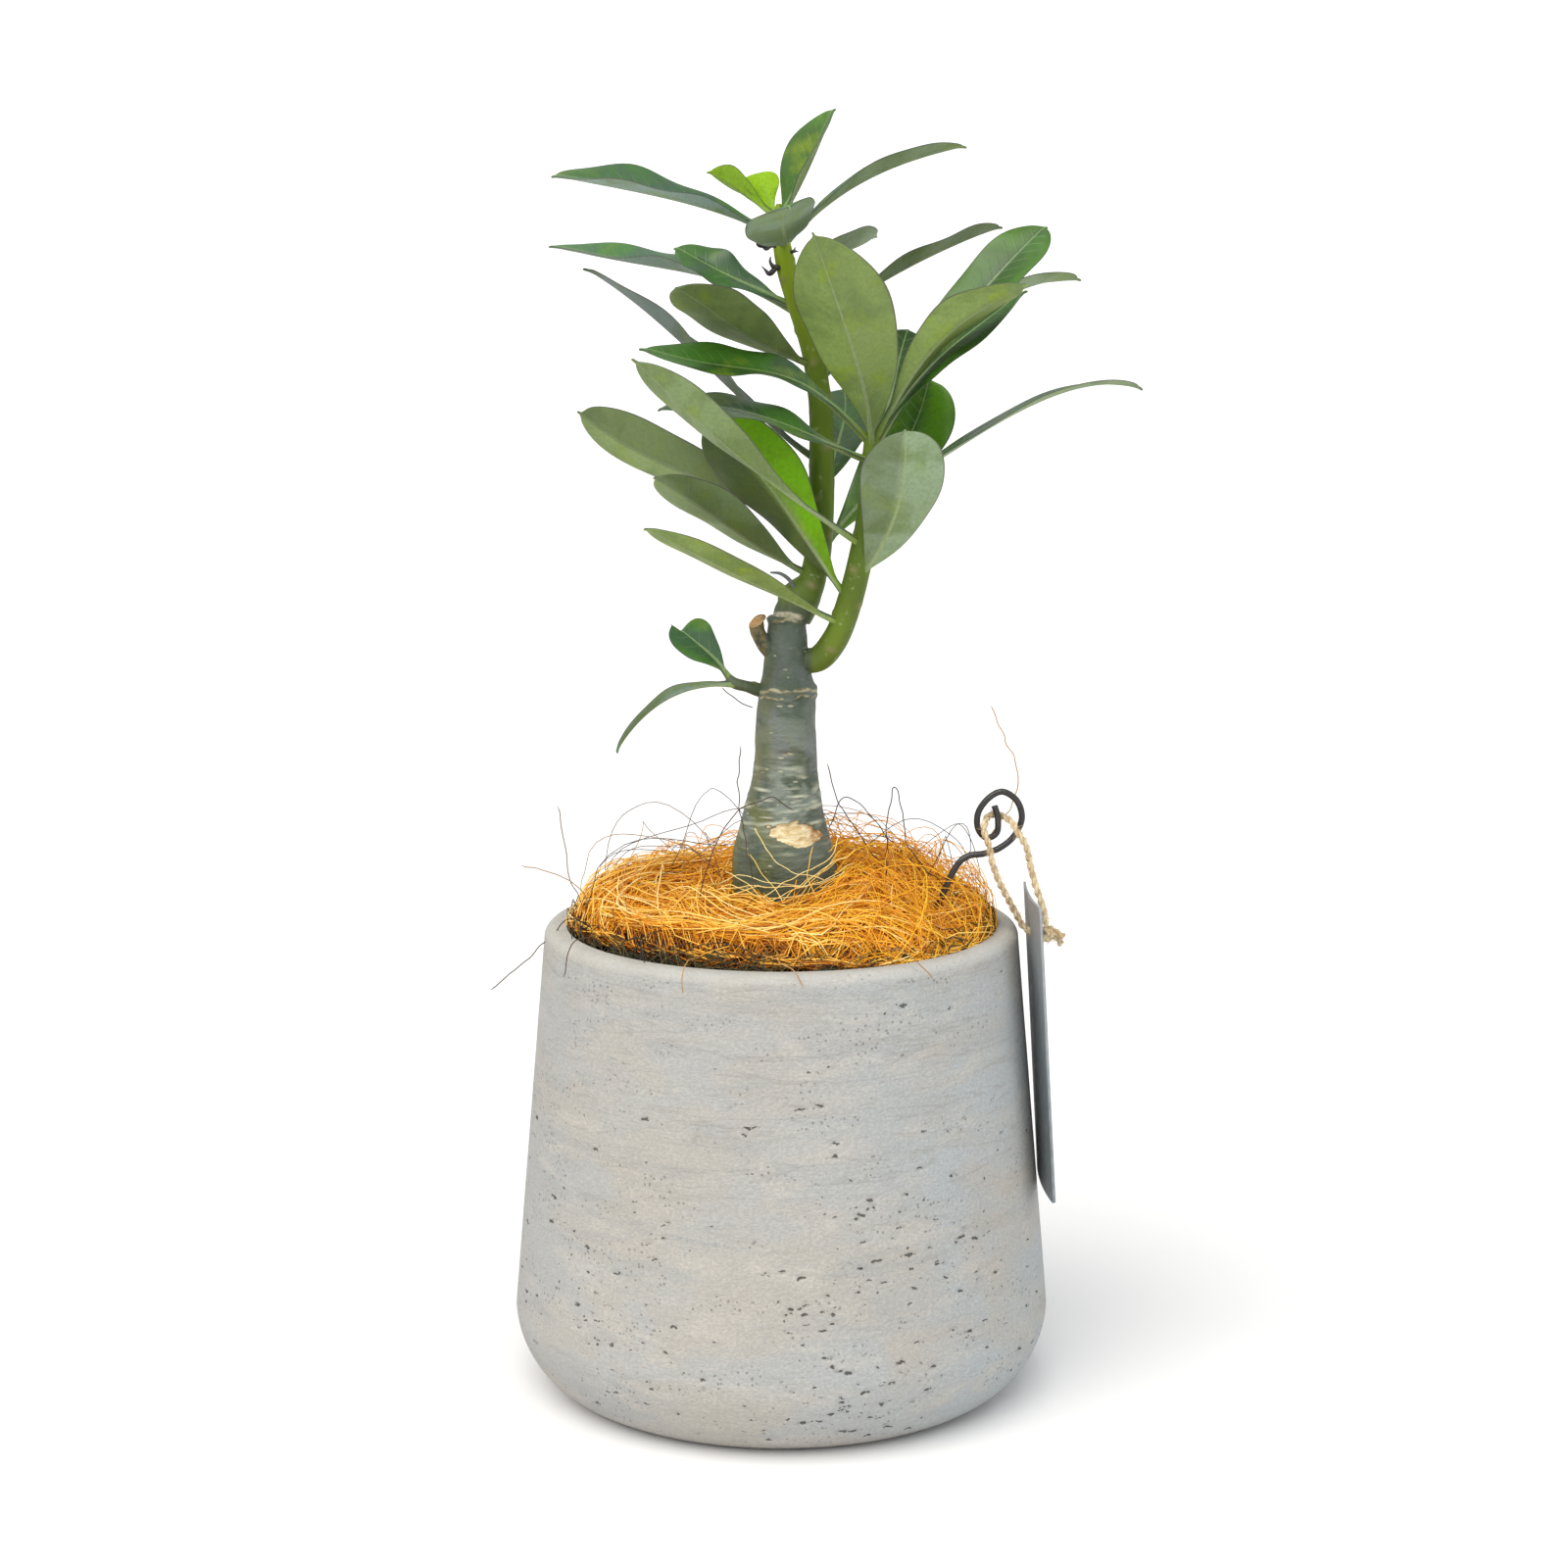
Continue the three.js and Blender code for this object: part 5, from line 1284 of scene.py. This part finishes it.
def wire_material():
    material, shader, place = new_material("black_wire", 0.28)
    tone = blend(mottled(place, 300, 0.45, 0.7), (0.012, 0.011, 0.011), (0.03, 0.026, 0.024))
    low = split(place)["Z"]
    tone = blend(ramp(low, 146 * MM, 132 * MM, 0, 0.8), tone, (0.04, 0.018, 0.01))
    plug(shader, "Base Color", tone)
    plug(shader, "Roughness", ramp(mottled(place, 800, 0.3, 0.7), 0, 1, 0.2, 0.42))
    shader.inputs["Specular IOR Level"].default_value = 0.6
    bump(shader, mottled(place, 1500, 0.3, 0.7), 0.03 * MM)
    return material


hook_line = smooth_line([(x, HOOK_DEPTH, z, WIRE_RADIUS) for x, z in HOOK_ROUTE], 12)
hook_line = np.vstack([hook_line, hook_line[-1] + (hook_line[-1] - hook_line[-2]) * 0.25])
hook_line[-1, 3] = WIRE_RADIUS * 0.8
wire = wire_material()
hook = new_piece("wire_pick", *bundle([rings_along(hook_line, WIRE_SIDES)]), wire)
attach(hook, "root")
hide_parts("wire_hook")

# ----------------------------------------------------------------------- twine
# A loop of pale jute, two yarns twisted together. It hangs over the inner end
# of the spiral, goes through the tag, and is knotted outside it with two
# frayed ends. The wire and the tag hold it all the way.
YARN_COUNT = 2
YARN_RADIUS = 0.52
YARN_REACH = 0.42        # how far each yarn's centre lies from the twine's
TWIST_LENGTH = 5.2
TWINE_ROUTE = [
    (70.6, -10.4, 126.5), (69.6, -11, 132), (67.6, -11.4, 138), (65.9, -12.2, 144),
    (64.6, -13.6, 149.6), (62.2, -14.6, 153.8), (60.4, -11.9, 156.4), (57.2, -9.4, 157.6),
    (54.4, -11.2, 157.2), (53.4, -14.5, 154.2), (54.6, -14.8, 150.4), (55.6, -14.4, 145.6),
    (57.4, -13, 140.6), (60, -11.4, 135.4), (62.6, -10, 130.4), (64.6, -9.2, 127),
    (66.8, -9, 125.9), (69.6, -9.2, 125.6),
]
KNOT_CENTRE = (70.9, -9.8, 125.6)
TWINE_ENDS = [[(70.9, -9.6, 125.4), (73.2, -9.4, 124.4), (74.6, -9, 122.4)],
              [(70.9, -9.6, 125.6), (73, -10.4, 126), (75, -11.2, 125)]]


def twine_material():
    material, shader, place = new_material("jute", 0.85)
    tone = blend(mottled(place, 500, 0.35, 0.65), (0.56, 0.42, 0.24), (0.8, 0.66, 0.43))
    tone = blend(mottled(place, 1800, 0.5, 0.7) * 0.4, tone, (0.36, 0.24, 0.11))
    plug(shader, "Base Color", tone)
    bump(shader, mottled(place, 2600, 0.3, 0.7, (1, 1, 0.5)), 0.12 * MM)
    return material


def yarns(route):
    """The skins of the yarns that twist round each other along a route."""
    line = smooth_line([(*p, YARN_RADIUS) for p in route], 14)
    centre = line[:, :3]
    along = unit(np.gradient(centre, axis=0))
    side = unit(np.cross(along, (0.31, 0.95, 0.05)))
    other = np.cross(along, side)
    skins = []
    for yarn in range(YARN_COUNT):
        turn = run_along(centre) / TWIST_LENGTH * 2 * math.pi + yarn / YARN_COUNT * 2 * math.pi
        offset = YARN_REACH * (side * np.cos(turn)[:, None] + other * np.sin(turn)[:, None])
        skins.append(rings_along(np.hstack([centre + offset, line[:, 3:]]), 10, (0.31, 0.95, 0.05)))
    return skins


def fuzz_tree():
    """Short fibres that stand out of the twine."""
    given = geometry_tree("twine_fuzz", Per_Area=1900000.0, Seed=6, Length=1.5 * MM, Jute=jute)
    spots = add_node("GeometryNodeDistributePointsOnFaces",
                     {"Mesh": given["Geometry"], "Density": given["Per_Area"], "Seed": given["Seed"]})
    thorn = add_node("GeometryNodeMeshCone",
                     {"Vertices": 3, "Radius Bottom": 0.035, "Radius Top": 0.012, "Depth": 1.0})
    lean = add_node("FunctionNodeRandomValue", {0: (-1.2, -1.2, -3.1), 1: (1.2, 1.2, 3.1)},
                    data_type="FLOAT_VECTOR")
    turn = add_node("FunctionNodeRotateRotation", {"Rotation": spots["Rotation"], "Rotate By": lean[0]},
                    rotation_space="LOCAL")
    size = add_node("FunctionNodeRandomValue", {2: 0.3, 3: 1.2}, data_type="FLOAT")
    fibre = add_node("GeometryNodeInstanceOnPoints",
                     {"Points": spots["Points"], "Instance": thorn["Mesh"], "Rotation": turn[0],
                      "Scale": size[1] * given["Length"]})
    return finish_tree(join(fibre[0], given["Geometry"]), given["Jute"])


jute = twine_material()
knot_turn = np.linspace(0, 2 * math.pi, 15)
KNOT_SCALE = 0.62
knot_route = np.stack([
    KNOT_CENTRE[0] + KNOT_SCALE * -np.sin(3 * knot_turn),
    KNOT_CENTRE[1] + KNOT_SCALE * (np.sin(knot_turn) + 2 * np.sin(2 * knot_turn)),
    KNOT_CENTRE[2] + KNOT_SCALE * (np.cos(knot_turn) - 2 * np.cos(2 * knot_turn))], 1)
twine_skins = [skin for route in (TWINE_ROUTE, knot_route, *TWINE_ENDS) for skin in yarns(route)]
twine = new_piece("jute_twine", *bundle(twine_skins), jute)
run_tree(twine, fuzz_tree(), Jute=jute)
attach(twine, "root")
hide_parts("twine_loop")

# ------------------------------------------------------------------------- tag
# A plain card tag, grey on both faces with a white core that shows at the edge
# and round the hole, painted darker low down as shade. It curls a little and hangs against the pot's side.
TAG_WIDTH, TAG_HEIGHT, TAG_THICKNESS = 36, 80, 0.7
TAG_HOLE_RADIUS = 2
TAG_HOLE_BELOW_TOP = 10
TAG_CENTRE = (68.1, -9, 96)
TAG_LEAN = -0.06
TAG_TURN = 0.04
TAG_CURL = 1.0


def tag_material(name, colour, rough):
    material, shader, place = new_material(name, rough)
    # Painted shade: the card is painted paler towards the top and darker low down.
    fade = ramp(split(place)["Z"], 60 * MM, 130 * MM, 0.0, 0.3)
    tone = blend(fade, colour, (0.5, 0.51, 0.52))
    fibre = mottled(place, 700, 0.3, 0.7, (1, 1, 0.6))
    tone = blend(fibre * 0.18, tone, (0.6, 0.6, 0.6))
    plug(shader, "Base Color", tone)
    bump(shader, fibre, 0.03 * MM)
    return material


outline = bpy.data.curves.new("tag_outline", "CURVE")
outline.dimensions = "2D"
outline.fill_mode = "BOTH"
half_wide, half_high, corner_round = TAG_WIDTH / 2, TAG_HEIGHT / 2, 1.0
corner_points = []
for cx, cy, start in ((1, -1, -90), (1, 1, 0), (-1, 1, 90), (-1, -1, 180)):
    for step in range(5):
        angle = math.radians(start + step * 22.5)
        corner_points.append((cx * (half_wide - corner_round) + corner_round * math.cos(angle),
                              cy * (half_high - corner_round) + corner_round * math.sin(angle)))
hole_points = [(TAG_HOLE_RADIUS * math.cos(k / 24 * 2 * math.pi),
                half_high - TAG_HOLE_BELOW_TOP + TAG_HOLE_RADIUS * math.sin(k / 24 * 2 * math.pi))
               for k in range(24)]
for ring in (corner_points, hole_points):
    spline = outline.splines.new("POLY")
    spline.points.add(len(ring) - 1)
    for point, (across, up) in zip(spline.points, ring):
        point.co = (across, up, 0, 1)
    spline.use_cyclic_u = True
outline.extrude = TAG_THICKNESS / 2
drawn = bpy.data.objects.new("tag_outline", outline)
scene.collection.objects.link(drawn)
tag_mesh = bpy.data.meshes.new_from_object(drawn.evaluated_get(bpy.context.evaluated_depsgraph_get()))
bpy.data.objects.remove(drawn)

cutter = bmesh.new()
cutter.from_mesh(tag_mesh)
bmesh.ops.remove_doubles(cutter, verts=cutter.verts, dist=1e-4)
for cut in np.linspace(-half_wide, half_wide, 22)[1:-1]:
    everything = cutter.verts[:] + cutter.edges[:] + cutter.faces[:]
    bmesh.ops.bisect_plane(cutter, geom=everything, plane_co=(cut, 0, 0), plane_no=(1, 0, 0), dist=1e-5)
bmesh.ops.recalc_face_normals(cutter, faces=cutter.faces[:])
for face in cutter.faces:
    face.material_index = 0 if abs(face.normal.z) > 0.5 else 1
for vert in cutter.verts:
    across, up, thick = vert.co
    curl = TAG_CURL * (across / half_wide) ** 2 - 0.4 * (up / half_high) ** 2
    lean, turn = TAG_LEAN, TAG_TURN
    x, y, z = thick + curl, across, up
    x, z = x * math.cos(lean) + z * math.sin(lean), z * math.cos(lean) - x * math.sin(lean)
    x, y = x * math.cos(turn) - y * math.sin(turn), x * math.sin(turn) + y * math.cos(turn)
    vert.co = ((TAG_CENTRE[0] + 0.4 + x) * MM, (TAG_CENTRE[1] + y) * MM, (TAG_CENTRE[2] + z) * MM)
bmesh.ops.recalc_face_normals(cutter, faces=cutter.faces[:])
cutter.to_mesh(tag_mesh)
cutter.free()
tag_mesh.materials.clear()
tag_mesh.materials.append(tag_material("card_face", (0.175, 0.205, 0.225), 0.55))
tag_mesh.materials.append(tag_material("card_edge", (0.8, 0.8, 0.79), 0.8))
tag = bpy.data.objects.new("card_tag", tag_mesh)
scene.collection.objects.link(tag)
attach(tag, "root")
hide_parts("tag")
